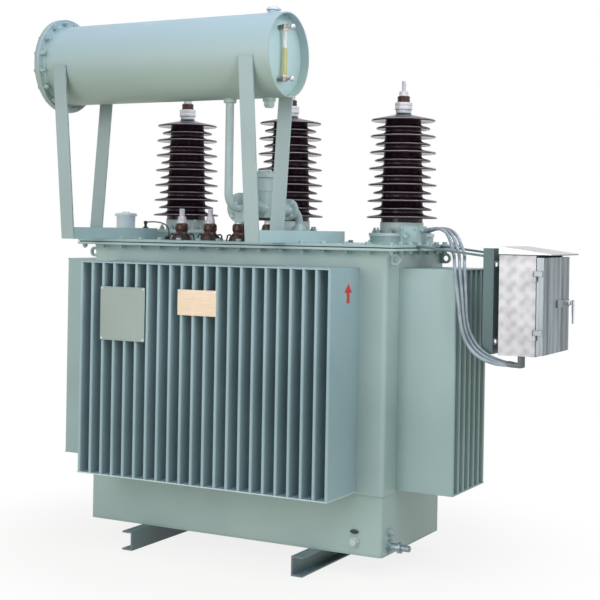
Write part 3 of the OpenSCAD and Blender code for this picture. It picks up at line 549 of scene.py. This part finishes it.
gasket_rubber = moulded("gasket_rubber", srgb(40, 42, 42), srgb(22, 24, 24), 0.6, 0.3)
gland_plastic = moulded("gland_plastic", srgb(122, 128, 132), srgb(92, 98, 103), 0.4, 0.1)
wire_black = moulded("wire_black", srgb(42, 43, 45), srgb(26, 27, 29), 0.4, 0.05)
lead_jacket = moulded("pale_jacket", srgb(162, 170, 178), srgb(132, 140, 149), 0.2, 0.05)

gauge_oil, pen, place = finish("gauge_oil")
oil = axis(pen, place, "Z") < OIL_LEVEL
surface(pen, Base_Color=oil.mix(srgb(236, 240, 238), srgb(212, 205, 142)),
        Roughness=0.06 + 0.05 * oil, Transmission_Weight=0.55, IOR=1.45)
print("made", gasket_rubber.name, gland_plastic.name, wire_black.name, lead_jacket.name,
      gauge_oil.name)

# %% [markdown]
# Each CAD body now gets its finish. A body keeps its mesh and its place, and only the material in
# its slot changes. Whatever isn't named in the table is painted with the tank's enamel.

# %% Give the CAD bodies their finishes
DRESS = {
    "cover_gasket": gasket_rubber, "hv_porcelain": brown_glaze, "hv_terminals": plated_steel,
    "lv_rings": brown_casting, "lv_porcelain": tea_glaze, "lv_terminals": plated_steel,
    "breather_cap": grey_enamel, "gauge_fittings": dull_nickel, "gauge_glass": gauge_oil,
    "conservator_shell": vessel_enamel, "conservator_flange": frame_enamel,
    "conservator_end": pale_painted_light_enamel, "cradle_rails": pale_painted_light_enamel, "cradle_front_legs": frame_enamel,
    "cradle_back_legs": frame_enamel, "oil_pipe": frame_enamel, "gas_relay": frame_enamel,
    "relay_elbow": frame_enamel, "relief_can": grey_enamel, "drain_valve": zinc_grey,
    "tank_walls": wall_painted_light_enamel, "fins_front": fin_enamel, "earth_stud": sleeve_painted_light_enamel,
    "hv_flanges": sleeve_painted_light_enamel, "base_rails": rail_enamel,
    "nameplate": brass_sheet, "terminal_box": swirled_stainless, "box_hood": hood_stainless,
    "box_door": brushed_stainless, "box_bracket": bracket_painted_shade_enamel, "box_arms": bracket_painted_shade_enamel,
    "door_handle": polished_chrome, "cable_glands": gland_plastic,
}
for name, body in nodes.items():
    body.data.materials.clear()
    body.data.materials.append(DRESS.get(name, tank_enamel))
for lead in leads:
    lead.data.materials.append(lead_jacket)
post_wire.data.materials.append(wire_black)
print("dressed", len(nodes), "bodies,", len(DRESS), "of them from the table")

# %% [markdown]
# What follows is modelled one piece at a time. A few bench tools come first: pick selects faces by
# their place and normal, prism makes a chamfered bar of any number of sides, block a plain one to
# work on, lathe spins an outline round Z, and cut_plate cuts a flat piece to an outline. Prism and
# lathe take millimetres, as a drawing of hardware does. Places on the unit stay in metres.

# %% Shaping tools
def pick(piece, test):
    """Selects the faces whose middle and normal pass a test, and stays in edit mode."""
    bpy.ops.object.mode_set(mode="EDIT")
    bpy.ops.mesh.select_mode(type="FACE")
    bpy.ops.mesh.select_all(action="DESELECT")
    bpy.ops.object.mode_set(mode="OBJECT")
    for face in piece.data.polygons:
        face.select = test(face.center, face.normal)
    bpy.ops.object.mode_set(mode="EDIT")


def prism(sides, diameter, height, lift=0, chamfer=0.8):
    """A bar of so many sides along Z, its upper edge chamfered, in millimetres."""
    straight = (height - chamfer) / 1000
    clear_selection()
    bpy.ops.mesh.primitive_cylinder_add(vertices=sides, radius=diameter / 2000, depth=straight,
                                        location=(0, 0, lift / 1000 + straight / 2))
    piece = bpy.context.object
    pick(piece, lambda middle, normal: normal.z > 0.9)
    bpy.ops.mesh.inset(thickness=chamfer * 1.4 / 1000, depth=chamfer / 1000)
    bpy.ops.object.mode_set(mode="OBJECT")
    return piece


def block(middle, size):
    """A plain block, to be worked on."""
    clear_selection()
    bpy.ops.mesh.primitive_cube_add(size=1.0, location=middle, scale=size)
    bpy.ops.object.transform_apply(location=True, rotation=True, scale=True)
    return bpy.context.object


def first_point(place):
    """A new mesh of one point, in edit mode, ready for its outline to be drawn."""
    clear_selection()
    bpy.ops.mesh.primitive_plane_add(size=0.01)
    piece = bpy.context.object
    bpy.ops.object.mode_set(mode="EDIT")
    bpy.ops.mesh.select_mode(type="VERT")
    bpy.ops.mesh.select_all(action="SELECT")
    bpy.ops.mesh.merge(type="CENTER")
    bpy.ops.transform.translate(value=place)
    return piece


def draw(points):
    """Draws an outline by extruding one point after the other."""
    for here, there in zip(points, points[1:]):
        bpy.ops.mesh.extrude_vertices_move(TRANSFORM_OT_translate={"value": there - here})
    bpy.ops.mesh.select_all(action="SELECT")


def lathe(outline, steps=48):
    """A turned piece: its outline, as (radius, height) in millimetres, spun round Z."""
    points = [Vector((radius / 1000, 0.0, height / 1000)) for radius, height in outline]
    piece = first_point(points[0])
    draw(points)
    bpy.ops.mesh.spin(steps=steps, angle=math.tau, center=(0, 0, 0), axis=(0, 0, 1))
    bpy.ops.mesh.select_all(action="SELECT")
    bpy.ops.mesh.remove_doubles(threshold=1e-5)
    bpy.ops.object.mode_set(mode="OBJECT")
    return piece


def cut_plate(outline, push):
    """A flat piece cut to an outline of points in space, made thick by a push."""
    points = [Vector(point) for point in outline]
    piece = first_point(points[0])
    draw(points)
    bpy.ops.mesh.edge_face_add()
    bpy.ops.mesh.extrude_region_move(TRANSFORM_OT_translate={"value": push})
    bpy.ops.object.mode_set(mode="OBJECT")
    return piece


print("shaping tools ready")

# %% [markdown]
# A few more tools finish a piece. Join makes one mesh of several, spread sets copies of one piece
# at many places, and settle cleans the mesh, paints it and fixes it to its body. Most small
# pieces are sprayed together with the tank, so its enamel is what settle uses if not told better.

# %% Finishing tools
def join(pieces):
    """Makes one mesh of several, with its place and turn applied."""
    clear_selection()
    for piece in pieces:
        piece.select_set(True)
    bpy.context.view_layer.objects.active = pieces[0]
    bpy.ops.object.join()
    bpy.ops.object.transform_apply(location=True, rotation=True, scale=True)
    return bpy.context.object


def copy_at(model, point, turn):
    """A copy of a modelled piece, moved and turned."""
    choose(model)
    bpy.ops.object.duplicate()
    copy = bpy.context.object
    copy.location = point
    copy.rotation_euler = turn
    return copy


def spread(model, places):
    """Copies of a modelled piece, its Z turned to each direction at each point, joined as one."""
    copies = [copy_at(model, point, Vector(way).to_track_quat("Z", "Y").to_euler())
              for point, way in places]
    bpy.data.objects.remove(model)
    return join(copies)


def settle(piece, name, material=tank_enamel, body="main", angle=35.0):
    """Cleans a finished mesh, names and paints it, and fixes it to its body."""
    choose(piece)
    bpy.ops.object.transform_apply(location=True, rotation=True, scale=True)
    bpy.ops.object.mode_set(mode="EDIT")
    bpy.ops.mesh.select_all(action="SELECT")
    bpy.ops.mesh.remove_doubles(threshold=1e-5)
    bpy.ops.mesh.normals_make_consistent(inside=False)
    bpy.ops.object.mode_set(mode="OBJECT")
    bpy.ops.object.shade_smooth_by_angle(angle=math.radians(angle))
    piece.name = piece.data.name = name
    piece.data.materials.clear()
    piece.data.materials.append(material)
    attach(piece, body)
    print(name, "faces:", len(piece.data.polygons))


print("finishing tools ready")

# %% [markdown]
# The cover is bolted down all round at about 100 mm, with heads on top and nuts hanging below the
# rim. A fastener is a thin washer, a hexagon with a chamfer and the end of its bolt. It is
# modelled once and copied. A head is left out where a channel, a turret or the can is in the way.

# %% Cover bolts
WASHER_T = 2.5


def fastener(across, height, washer, bolt=0, bolt_rise=0):
    """Washer, hexagon and bolt end, standing on Z = 0, in millimetres."""
    parts = [prism(20, washer, WASHER_T, 0, 0.6),
             prism(6, across * 2 / math.sqrt(3), height, WASHER_T, 0.1 * height)]
    if bolt_rise:
        parts.append(prism(12, bolt, bolt_rise, WASHER_T + height, 1.2))
    return join(parts)


def row(first, last, count):
    """Evenly spaced values."""
    return [first + (last - first) * k / (count - 1) for k in range(count)]


UP, DOWN, FRONT, LEFT, RIGHT = (0, 0, 1), (0, 0, -1), (0, -1, 0), (-1, 0, 0), (1, 0, 0)
BOLT_INSET, END_REACH, RIM_T = 0.03, 0.235, 0.014
SIDE_COUNT, END_COUNT = 16, 6
HV_PLACES = [(-0.556, 0.198), (0, 0.198), (0.556, 0.198)]
CRADLE_X, CAN_AT = (-0.6485, 0.2565), (-0.725, -0.05)
CRADLE_ROOM, TURRET_ROOM, CAN_ROOM = 0.048, 0.162, 0.062
cover_low, cover_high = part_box("tank_cover")
edge_x, edge_y = cover_high[0] - BOLT_INSET, cover_high[1] - BOLT_INSET
bolt_spots = [(x, y) for y in (-edge_y, edge_y) for x in row(-edge_x, edge_x, SIDE_COUNT)]
bolt_spots += [(x, y) for x in (-edge_x, edge_x) for y in row(-END_REACH, END_REACH, END_COUNT)]


def clear_on_top(x, y):
    """Whether a bolt has room for its head on the cover."""
    channel = y < 0 and any(abs(x - c) < CRADLE_ROOM for c in CRADLE_X)
    turret = any(math.dist((x, y), place) < TURRET_ROOM for place in HV_PLACES)
    return not channel and not turret and math.dist((x, y), CAN_AT) > CAN_ROOM


heads = spread(fastener(19, 9, 26),
               [((x, y, cover_high[2]), UP) for x, y in bolt_spots if clear_on_top(x, y)])
settle(heads, "cover_bolt_heads")
nuts = spread(fastener(19, 10, 26, 12, 5),
              [((x, y, cover_low[2] - RIM_T), DOWN) for x, y in bolt_spots])
settle(nuts, "cover_bolt_nuts")

# %% [markdown]
# The conservator's left end is a blind flange with sixteen bolts. Their heads face out and their
# nuts face the shell. Where the shell meets its flange a weld bead runs round, and so it does
# round the foot of each turret: a small rounded three-cornered section, turned.

# %% Conservator flange bolts and weld beads
BOLT_CIRCLE, SHELL_FLANGE_T = 0.185, 0.012
SHELL_R, TURRET_R, WELD_LEG = 169, 138, 7


def middle_of(low, high):
    """The middle of a box."""
    return [(a + b) / 2 for a, b in zip(low, high)]


def round_spots(radius, count, offset=0.5):
    """Points of a bolt circle, as (across, up) pairs."""
    turns = [math.tau * (k + offset) / count for k in range(count)]
    return [(radius * math.cos(a), radius * math.sin(a)) for a in turns]


blind_low, blind_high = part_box("conservator_flange")
_, cons_y, cons_z = middle_of(blind_low, blind_high)
shell_from = blind_high[0] + SHELL_FLANGE_T
ring = round_spots(BOLT_CIRCLE, 16)
outer = [((blind_low[0], cons_y + a, cons_z + b), LEFT) for a, b in ring]
inner = [((shell_from, cons_y + a, cons_z + b), RIGHT) for a, b in ring]
settle(spread(fastener(18, 9, 24), outer), "conservator_bolt_heads")
settle(spread(fastener(18, 9, 24, 11, 7), inner), "conservator_bolt_nuts")


def bead(radius, leg):
    """A fillet weld round a tube of the given radius, its foot on Z = 0."""
    low = radius - 0.5
    return [(low, 0), (radius + leg, 0), (radius + 0.8 * leg, 0.25 * leg),
            (radius + 0.25 * leg, 0.8 * leg), (low, leg), (low, 0)]


shell_weld = spread(lathe(bead(SHELL_R, WELD_LEG), 96), [((shell_from, cons_y, cons_z), RIGHT)])
settle(shell_weld, "conservator_weld", angle=60)
foot_welds = spread(lathe(bead(TURRET_R, WELD_LEG), 72),
                    [((x, y, cover_high[2]), UP) for x, y in HV_PLACES])
settle(foot_welds, "turret_welds", angle=60)

# %% [markdown]
# A high-voltage bushing is one piece of porcelain with large and small sheds in turn, which make
# the path for a creeping current longer. A shed is thin, with a round lip, a nearly flat
# underside that keeps dry and a top that runs up into the core in a hollow curve. The outline is
# worked out shed by shed, drawn point by point and turned once, and the copies stand on the
# three sleeves.

# %% High-voltage porcelain
SHEDS, SHED_LOW, SHED_PITCH = 13, 22, 35
CORE_RADII, TIP_RADII, SMALL_BY, LIP_HIGHLIGHT_DEPTH = (91, 76.5), (153, 139), 23, 1
porcelain_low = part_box("hv_porcelain")[0]


def along(low, high, k):
    """A value that runs evenly from the lowest shed to the highest."""
    return low + (high - low) * k / (SHEDS - 1)


def tip_radius(k):
    """Large and small sheds in turn, all a little smaller towards the top."""
    return along(*TIP_RADII, k) - (SMALL_BY if k % 2 else 0)


def shed_outline(k):
    """Outline of one shed from its underside over the lip up to the core."""
    core = along(*CORE_RADII, k)
    tip = tip_radius(k)
    reach = tip - core
    z = SHED_LOW + SHED_PITCH * k
    return [(core, z + 3), (core + 0.25 * reach, z + 0.2), (tip - 8, z - 4),
            (tip - 2.5, z - 4.4), (tip - 0.4, z - 2.6), (tip, z - 0.2),
            (tip - 0.6, z + 2.2), (tip - 3, z + 4), (tip - 0.3 * reach, z + 6.6),
            (core + 0.3 * reach, z + 10.6), (core + 0.08 * reach, z + 14.6), (core, z + 19)]


outline = [(0, 0), (89.5, 0), (91, 1.5)]
for k in range(SHEDS):
    outline += shed_outline(k)
outline[-4:] = [(90, 455.5), (60, 462.5), (40, 467.5), (34.5, 470), (32, 474), (32, 488), (0, 488)]
sheds = spread(lathe(outline, 64), [((x, y, porcelain_low[2]), UP) for x, y in HV_PLACES])
settle(sheds, "hv_porcelain_sheds", brown_glaze, angle=40)
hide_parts("hv_porcelain")


def on_lip_highlight(point):
    """1 on the upper edge of a shed's lip, where the highlight is painted, otherwise 0."""
    radius = 1000 * min(math.hypot(point.x - x, point.y - y) for x, y in HV_PLACES)
    height = (1000 * (point.z - porcelain_low[2]) - SHED_LOW) / SHED_PITCH
    k = round(height)
    return float(0 <= k < SHEDS and height > k and radius > tip_radius(k) - LIP_HIGHLIGHT_DEPTH)


# Marks the points that get the painted highlight.
lip_highlight = sheds.data.attributes.new("lip_highlight", "FLOAT", "POINT")
lip_highlight.data.foreach_set("value", [on_lip_highlight(vertex.co) for vertex in sheds.data.vertices])
print("points on the lips:", sum(value.value > 0.5 for value in lip_highlight.data))

# %% [markdown]
# On top of each porcelain sits a grey band, a tinned collar, a brown sealing ring and a nut on a
# threaded stud. Band, collar and ring are turned. The thread is a row of ridges, which from any
# distance looks as a thread does, and takes far fewer faces than a helix.

# %% High-voltage terminals
THREAD_DEPTH, PLAIN_END = 0.9, 3


def thread(radius, low, high, pitch):
    """Outline of a threaded stud with a chamfered end."""
    root = radius - THREAD_DEPTH
    points = [(root, low)]
    for k in range(int((high - low - PLAIN_END) / pitch)):
        z = low + k * pitch
        points += [(root, z + 0.2 * pitch), (radius, z + 0.45 * pitch),
                   (radius, z + 0.55 * pitch), (root, z + 0.8 * pitch)]
    return points + [(radius - 0.4, high - 2), (radius - 2.5, high), (0, high)]


terminal_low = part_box("hv_terminals")[0]
tops = [((x, y, terminal_low[2]), UP) for x, y in HV_PLACES]
collar = lathe([(0, 0), (36.5, 0), (38, 1.5), (38, 11), (36.8, 12.5), (36.8, 18.5), (38, 20),
                (38, 30), (36, 32), (0, 32)])
stud = lathe([(0, 60)] + thread(9, 60, 126, 2.5), 24)
nut = prism(6, 40, 17, 64, 2)
washer = prism(24, 38, 4, 60, 0.8)
collars = spread(join([collar, stud, nut, washer]), tops)
settle(collars, "hv_collars", tinned_steel)
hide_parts("hv_terminals")
seal = lathe([(0, 32), (25, 32), (27.2, 34.5), (27.5, 40), (26.2, 45), (27.5, 50), (27.2, 56),
              (24.5, 59.8), (0, 59.8)])
settle(spread(seal, tops), "hv_seals", tea_glaze, angle=60)
neck = lathe([(32.2, -14.5), (33.5, -13.5), (33.5, -2), (32.2, -0.6)])
settle(spread(neck, tops), "hv_neck_bands", grey_enamel, angle=60)

# %% [markdown]
# The clamping flange under each sleeve is held by ten studs with nuts. The studs stand up past
# their nuts, as the photograph shows.

# %% High-voltage flange studs
FLANGE_TOP, STUD_CIRCLE = 1.366, 0.118
spots = [((x + a, y + b, FLANGE_TOP), UP)
         for x, y in HV_PLACES for a, b in round_spots(STUD_CIRCLE, 10)]
settle(spread(fastener(17, 10, 24, 10, 10), spots), "hv_flange_studs")

# %% [markdown]
# A low-voltage bushing is smaller: a brown body with a waist, held down by a brown ring with four
# dark bent clips, and on top a stack of washers and nuts on a thick stud. The clip is cut from an
# angled outline and pushed to its width.

# %% Low-voltage bushings
LV_FIRST, LV_PITCH, LV_Y = -0.383, 0.149, -0.1
LV_PLACES = [(LV_FIRST + LV_PITCH * k, LV_Y) for k in range(4)]
body_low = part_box("lv_porcelain")[0]
body = lathe([(0, 0), (32.5, 0), (34, 2), (33.5, 5), (29, 9), (26.2, 13), (25.8, 16.5),
              (28, 19.5), (29.8, 23.5), (30, 28), (30, 40), (29.2, 45.5), (26.5, 50), (21.5, 53),
              (0, 53)])
bodies = spread(body, [((x, y, body_low[2]), UP) for x, y in LV_PLACES])
settle(bodies, "lv_porcelain_bodies", tea_glaze, angle=60)
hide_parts("lv_porcelain")

stack_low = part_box("lv_terminals")[0]
stack = join([prism(28, 43, 5, 0), prism(6, 41, 11, 5, 1.5),
              prism(28, 37, 4, 16), prism(6, 35, 10, 20, 1.5),
              lathe([(0, 28)] + thread(12, 28, 64, 3), 28)])
stacks = spread(stack, [((x, y, stack_low[2]), UP) for x, y in LV_PLACES])
settle(stacks, "lv_nut_stacks", tinned_steel)
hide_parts("lv_terminals")

CLIP_WIDTH, CLIP_TOP, SCREW_OUT = 0.014, 0.026, 0.043
ring_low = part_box("lv_rings")[0]
clip = cut_plate([(out, -CLIP_WIDTH / 2, up) for out, up in
                  ((0.034, 0.0225), (0.05, 0.0225), (0.0545, 0), (0.058, 0),
                   (0.053, CLIP_TOP), (0.034, CLIP_TOP))], (0, CLIP_WIDTH, 0))
screw = spread(prism(6, 13, 6, 0, 1), [((SCREW_OUT, 0, CLIP_TOP), UP)])
clip = join([clip, screw])
clips = [copy_at(clip, (x, y, ring_low[2]), (0, 0, math.radians(turn)))
         for x, y in LV_PLACES for turn in (45, 135, 225, 315)]
bpy.data.objects.remove(clip)
settle(join(clips), "lv_clips", dark_casting)

# %% [markdown]
# The gas relay sits in the oil pipe between two pairs of bolted flanges, turned six degrees off
# the Y axis. One helper turns the relay's own places into places on the unit. Small bolts hold
# the pot's cover, and a dark ring closes the pot below.

# %% Relay bolts and ring
RELAY_AT = Vector((0.095, -0.3905, 1.46))
RELAY_TURN = math.radians(-6.0)
FRONT_CIRCLE, BACK_CIRCLE, LID_CIRCLE = 0.046, 0.037, 0.04
PAIR_T, BACK_PAIR, POT_AT, POT_TOP, POT_FOOT = 0.012, 0.34, 0.165, 0.1535, -0.05


def on_relay(x, y, z):
    """A place measured from the front flange of the relay, along and across its axis."""
    c, s = math.cos(RELAY_TURN), math.sin(RELAY_TURN)
    return RELAY_AT + Vector((c * x - s * y, s * x + c * y, z))


ahead = on_relay(0, 1, 0) - RELAY_AT
near = [(on_relay(a, side * PAIR_T, b), side * ahead)
        for side in (-1, 1) for a, b in round_spots(FRONT_CIRCLE, 4)]
settle(spread(fastener(17, 9, 22), near), "relay_flange_bolts")
far = [(on_relay(a, BACK_PAIR + side * PAIR_T, b), side * ahead)
       for side in (-1, 1) for a, b in round_spots(BACK_CIRCLE, 4)]
far += [(on_relay(a, POT_AT + b, POT_TOP), UP) for a, b in round_spots(LID_CIRCLE, 6)]
settle(spread(fastener(10, 6, 14), far), "relay_small_bolts")
base_ring = lathe([(0, 0), (23.5, 0), (26, 2), (26.5, 11), (24, 13), (0, 13)], 32)
base_ring = spread(base_ring, [(on_relay(0, POT_AT, POT_FOOT), UP)])
settle(base_ring, "relay_base_ring", dark_casting)

# %% [markdown]
# The oil gauge has a fitting at each end of its glass. A brass gland nut holds the glass there,
# and a small valve with a pale round knob points away from the dished end. The breather on top
# of the conservator is a turned cap with an overhanging brim.

# %% Gauge knobs and breather
KNOB_OUT, KNOB_PAST = 0.012, 0.01
glass_low, glass_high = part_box("gauge_glass")
gauge_x, gauge_y, _ = middle_of(glass_low, glass_high)
knob = lathe([(0, 0), (5, 0), (5, 12), (8.5, 14), (11, 18), (11.2, 23), (9.5, 28), (5, 30.8),
              (0, 31.2)], 24)
knob_heights = (glass_low[2] - KNOB_PAST, glass_high[2] + KNOB_PAST)
knobs = spread(knob, [((gauge_x + KNOB_OUT, gauge_y, z), RIGHT) for z in knob_heights])
settle(knobs, "gauge_knobs", plated_steel, angle=50)
glands = spread(prism(6, 28.5, 9, 0, 1.2),
                [((gauge_x, gauge_y, glass_low[2]), UP), ((gauge_x, gauge_y, glass_high[2]), DOWN)])
settle(glands, "gauge_gland_nuts", brass_sheet)
cap_low, cap_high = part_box("breather_cap")
cap_x, cap_y, _ = middle_of(cap_low, cap_high)
cap = lathe([(0, 0), (19, 0), (19, 6), (29, 7), (30, 8.5), (29.8, 11.5), (25.5, 17), (18, 20.8),
             (10, 22), (0, 22)], 40)
cap = spread(cap, [((cap_x, cap_y, cap_low[2]), UP)])
settle(cap, "breather_brim", grey_enamel, angle=45)
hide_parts("breather_cap")

# %% [markdown]
# Two plates are riveted to the fins: a square painted one and a brass one. Both are left bare. A
# plate gets a sunken field inside a narrow border by one inset, and four domed rivets.

# %% Plates and rivets
RIVET_IN = 0.004


def riveted_plate(node, border, sink):
    """A plate with a sunken field that stands for a CAD plate, and the places of its rivets."""
    low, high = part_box(node)
    piece = block(middle_of(low, high), [b - a for a, b in zip(low, high)])
    pick(piece, lambda middle, normal: normal.y < -0.9)
    bpy.ops.mesh.inset(thickness=border)
    bpy.ops.mesh.inset(thickness=sink, depth=-sink)
    bpy.ops.object.mode_set(mode="OBJECT")
    inset = border * 0.5 + RIVET_IN
    return piece, [((x, low[1], z), FRONT) for x in (low[0] + inset, high[0] - inset)
                   for z in (low[2] + inset, high[2] - inset)]


badge, badge_rivets = riveted_plate("badge_plate", 0.007, 0.0006)
settle(badge, "painted_plate", plate_enamel)
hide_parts("badge_plate")
brass, brass_rivets = riveted_plate("nameplate", 0.005, 0.0005)
settle(brass, "brass_plate", brass_sheet)
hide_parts("nameplate")
rivet = lathe([(4.2, 0), (4, 1), (3, 1.9), (1.5, 2.3), (0, 2.4)], 16)
settle(spread(rivet, badge_rivets + brass_rivets), "plate_rivets", plated_steel,
       angle=60)

# %% [markdown]
# The door of the terminal box is worked by a chromed lever on a round boss. The boss is turned.
# The lever starts as a bar, its free end is drawn in, and a Bevel modifier rounds its edges.

# %% Door lever
BOSS_R, BAR_BACK, BAR_T, BAR_WIDTH, TIP_LENGTH = 13, 0.005, 0.009, 0.018, 0.02
handle_low, handle_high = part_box("door_handle")
_, spindle_y, bar_z = middle_of(handle_low, handle_high)
bar_x, bar_low = handle_high[0] - BAR_BACK, handle_low[2]
boss = lathe([(0, 0), (BOSS_R, 0), (BOSS_R, 6), (11, 8.5), (8.5, 10), (8.5, 14), (0, 14)], 32)
boss = spread(boss, [((handle_low[0], spindle_y, handle_high[2] - BOSS_R / 1000), RIGHT)])
bar = block((bar_x, spindle_y, bar_z), (BAR_T, BAR_WIDTH, handle_high[2] - bar_low))
bpy.ops.object.mode_set(mode="EDIT")
bpy.ops.mesh.subdivide(number_cuts=3)
bpy.ops.object.mode_set(mode="OBJECT")
pick(bar, lambda middle, normal: middle.z < bar_low + TIP_LENGTH)
bpy.ops.transform.resize(value=(0.8, 0.72, 1.0), center_override=(bar_x, spindle_y, bar_low))
bpy.ops.object.mode_set(mode="OBJECT")
rounding = bar.modifiers.new("rounding", "BEVEL")
rounding.width = 0.0025
rounding.segments = 3
rounding.limit_method = "ANGLE"
choose(bar)
bpy.ops.object.modifier_apply(modifier="rounding")
lever = join([bar, boss])
settle(lever, "door_lever", polished_chrome, body="handle")
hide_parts("door_handle")

# %% [markdown]
# Between bracket and box four spacers are clamped by nuts on both sides, which shine out of the
# dark gap. The small box on the turret has a lid with four screws and a round blanked entry. The
# lid is a block whose front face is inset and raised a little.

# %% Spacer nuts and lid
BRACKET_FACE, SPACER_Y, SPACER_Z = 1.104, 0.126, (0.95, 1.25)
box_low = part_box("terminal_box")[0]
spacers = [(y, z) for y in (-SPACER_Y, SPACER_Y) for z in SPACER_Z]
clamped = [((BRACKET_FACE, y, z), RIGHT) for y, z in spacers]
clamped += [((box_low[0], y, z), LEFT) for y, z in spacers]
settle(spread(fastener(24, 8, 30), clamped), "spacer_nuts", plated_steel)

LID_RIGHT, LID_T, LID_RISE, LESS_WIDE, LESS_HIGH = 0.703, 0.003, 0.001, 0.004, 0.006
SCREW_IN_X, SCREW_IN_Z, ENTRY_X, ENTRY_Z = 0.01, 0.012, 0.655, 1.358
lid_low, lid_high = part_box("ct_box")
lid_face = lid_low[1] - LID_T - LID_RISE
lid = block(((lid_low[0] + LID_RIGHT) / 2, lid_low[1] - LID_T / 2, (lid_low[2] + lid_high[2]) / 2),
            (LID_RIGHT - lid_low[0] - LESS_WIDE, LID_T, lid_high[2] - lid_low[2] - LESS_HIGH))
pick(lid, lambda middle, normal: normal.y < -0.9)
bpy.ops.mesh.inset(thickness=0.002, depth=LID_RISE)
bpy.ops.object.mode_set(mode="OBJECT")
settle(lid, "small_box_lid")
screws = [((x, lid_face, z), FRONT) for x in (lid_low[0] + SCREW_IN_X, LID_RIGHT - SCREW_IN_X)
          for z in (lid_low[2] + SCREW_IN_Z, lid_high[2] - SCREW_IN_Z)]
settle(spread(fastener(9, 4, 12), screws), "lid_screws")
entry = lathe([(0, 0), (15, 0), (15, 5), (13.5, 7), (10, 7), (8.5, 4), (0, 3.5)], 32)
entry = spread(entry, [((ENTRY_X, lid_face, ENTRY_Z), FRONT)])
settle(entry, "blanked_entry")

# %% [markdown]
# Ribbed boots ease the leads out of the small box and into the glands. A boot is turned once and
# set at both ends of every lead, along the first stretch of its route.

# %% Lead boots
boot = lathe([(7.1, 0), (8.6, 0), (8.6, 8), (8.2, 10), (8.6, 13), (8, 15), (8.3, 18), (7.7, 20),
              (7.9, 23), (7.4, 32), (7.1, 32), (7.1, 0)], 20)
ends = []
for number in range(len(leads)):
    route = lead_points(number)
    ends += [(route[0], route[1] - route[0]), (route[-1], route[-2] - route[-1])]
settle(spread(boot, ends), "lead_boots", gland_plastic, angle=50)

# %% [markdown]
# Last come the single small things: a red arrow on the side of the last front fin, the post and
# the socket of the short wire, an oval plug low on the front and a plugged boss over the drain.
# The arrow is cut to its outline, and the others are turned. The plug is then stretched.

# %% Arrow, post, plug and boss
ARROW_X, ARROW_Y, ARROW_LOW, ARROW_T = 0.595, -0.4, 1.088, 0.0006
ARROW = [(-0.012, 0), (0.012, 0), (0.012, 0.042), (0.034, 0.042), (0, 0.078),
         (-0.034, 0.042), (-0.012, 0.042)]
arrow_red = enamel("arrow_red", srgb(214, 56, 58), srgb(196, 44, 50))
arrow = cut_plate([(ARROW_X, ARROW_Y + a, ARROW_LOW + b) for a, b in ARROW], (ARROW_T, 0, 0))
settle(arrow, "red_arrow", arrow_red)

channel_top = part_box("cradle_rails")[1][2]
post = lathe([(0, 0), (13, 0), (13, 4), (7, 6), (6, 18), (8.5, 20), (8.5, 31), (7, 33),
              (0, 33)], 24)
post = spread(post, [((*WIRE_ROUTE[-1][:2], channel_top), UP)])
socket = lathe([(0, 0), (15, 0), (15, 5), (10, 7), (9, 14), (6, 16), (0, 16)], 24)
socket = spread(socket, [((*WIRE_ROUTE[0][:2], cover_high[2]), UP)])
settle(socket, "wire_socket", dark_casting)
settle(post, "wire_post", dark_casting)

PLUG_AT, PLUG_STRETCH, BOSS_AT = (0.591, -0.3, 0.174), 2.2, (0.709, -0.223, 0.17)
plug = lathe([(0, 0), (8, 0), (8, 4), (6.8, 5.5), (4, 6), (0, 6.2)], 32)
plug.scale = (PLUG_STRETCH, 1.0, 1.0)
plug = spread(join([plug]), [(PLUG_AT, FRONT)])
settle(plug, "oval_plug", dark_casting)
plugged = lathe([(0, 0), (16, 0), (16, 10), (11, 11), (10, 20), (8, 21.5), (0, 21.5)], 24)
settle(spread(plugged, [(BOSS_AT, RIGHT)]), "plugged_boss")
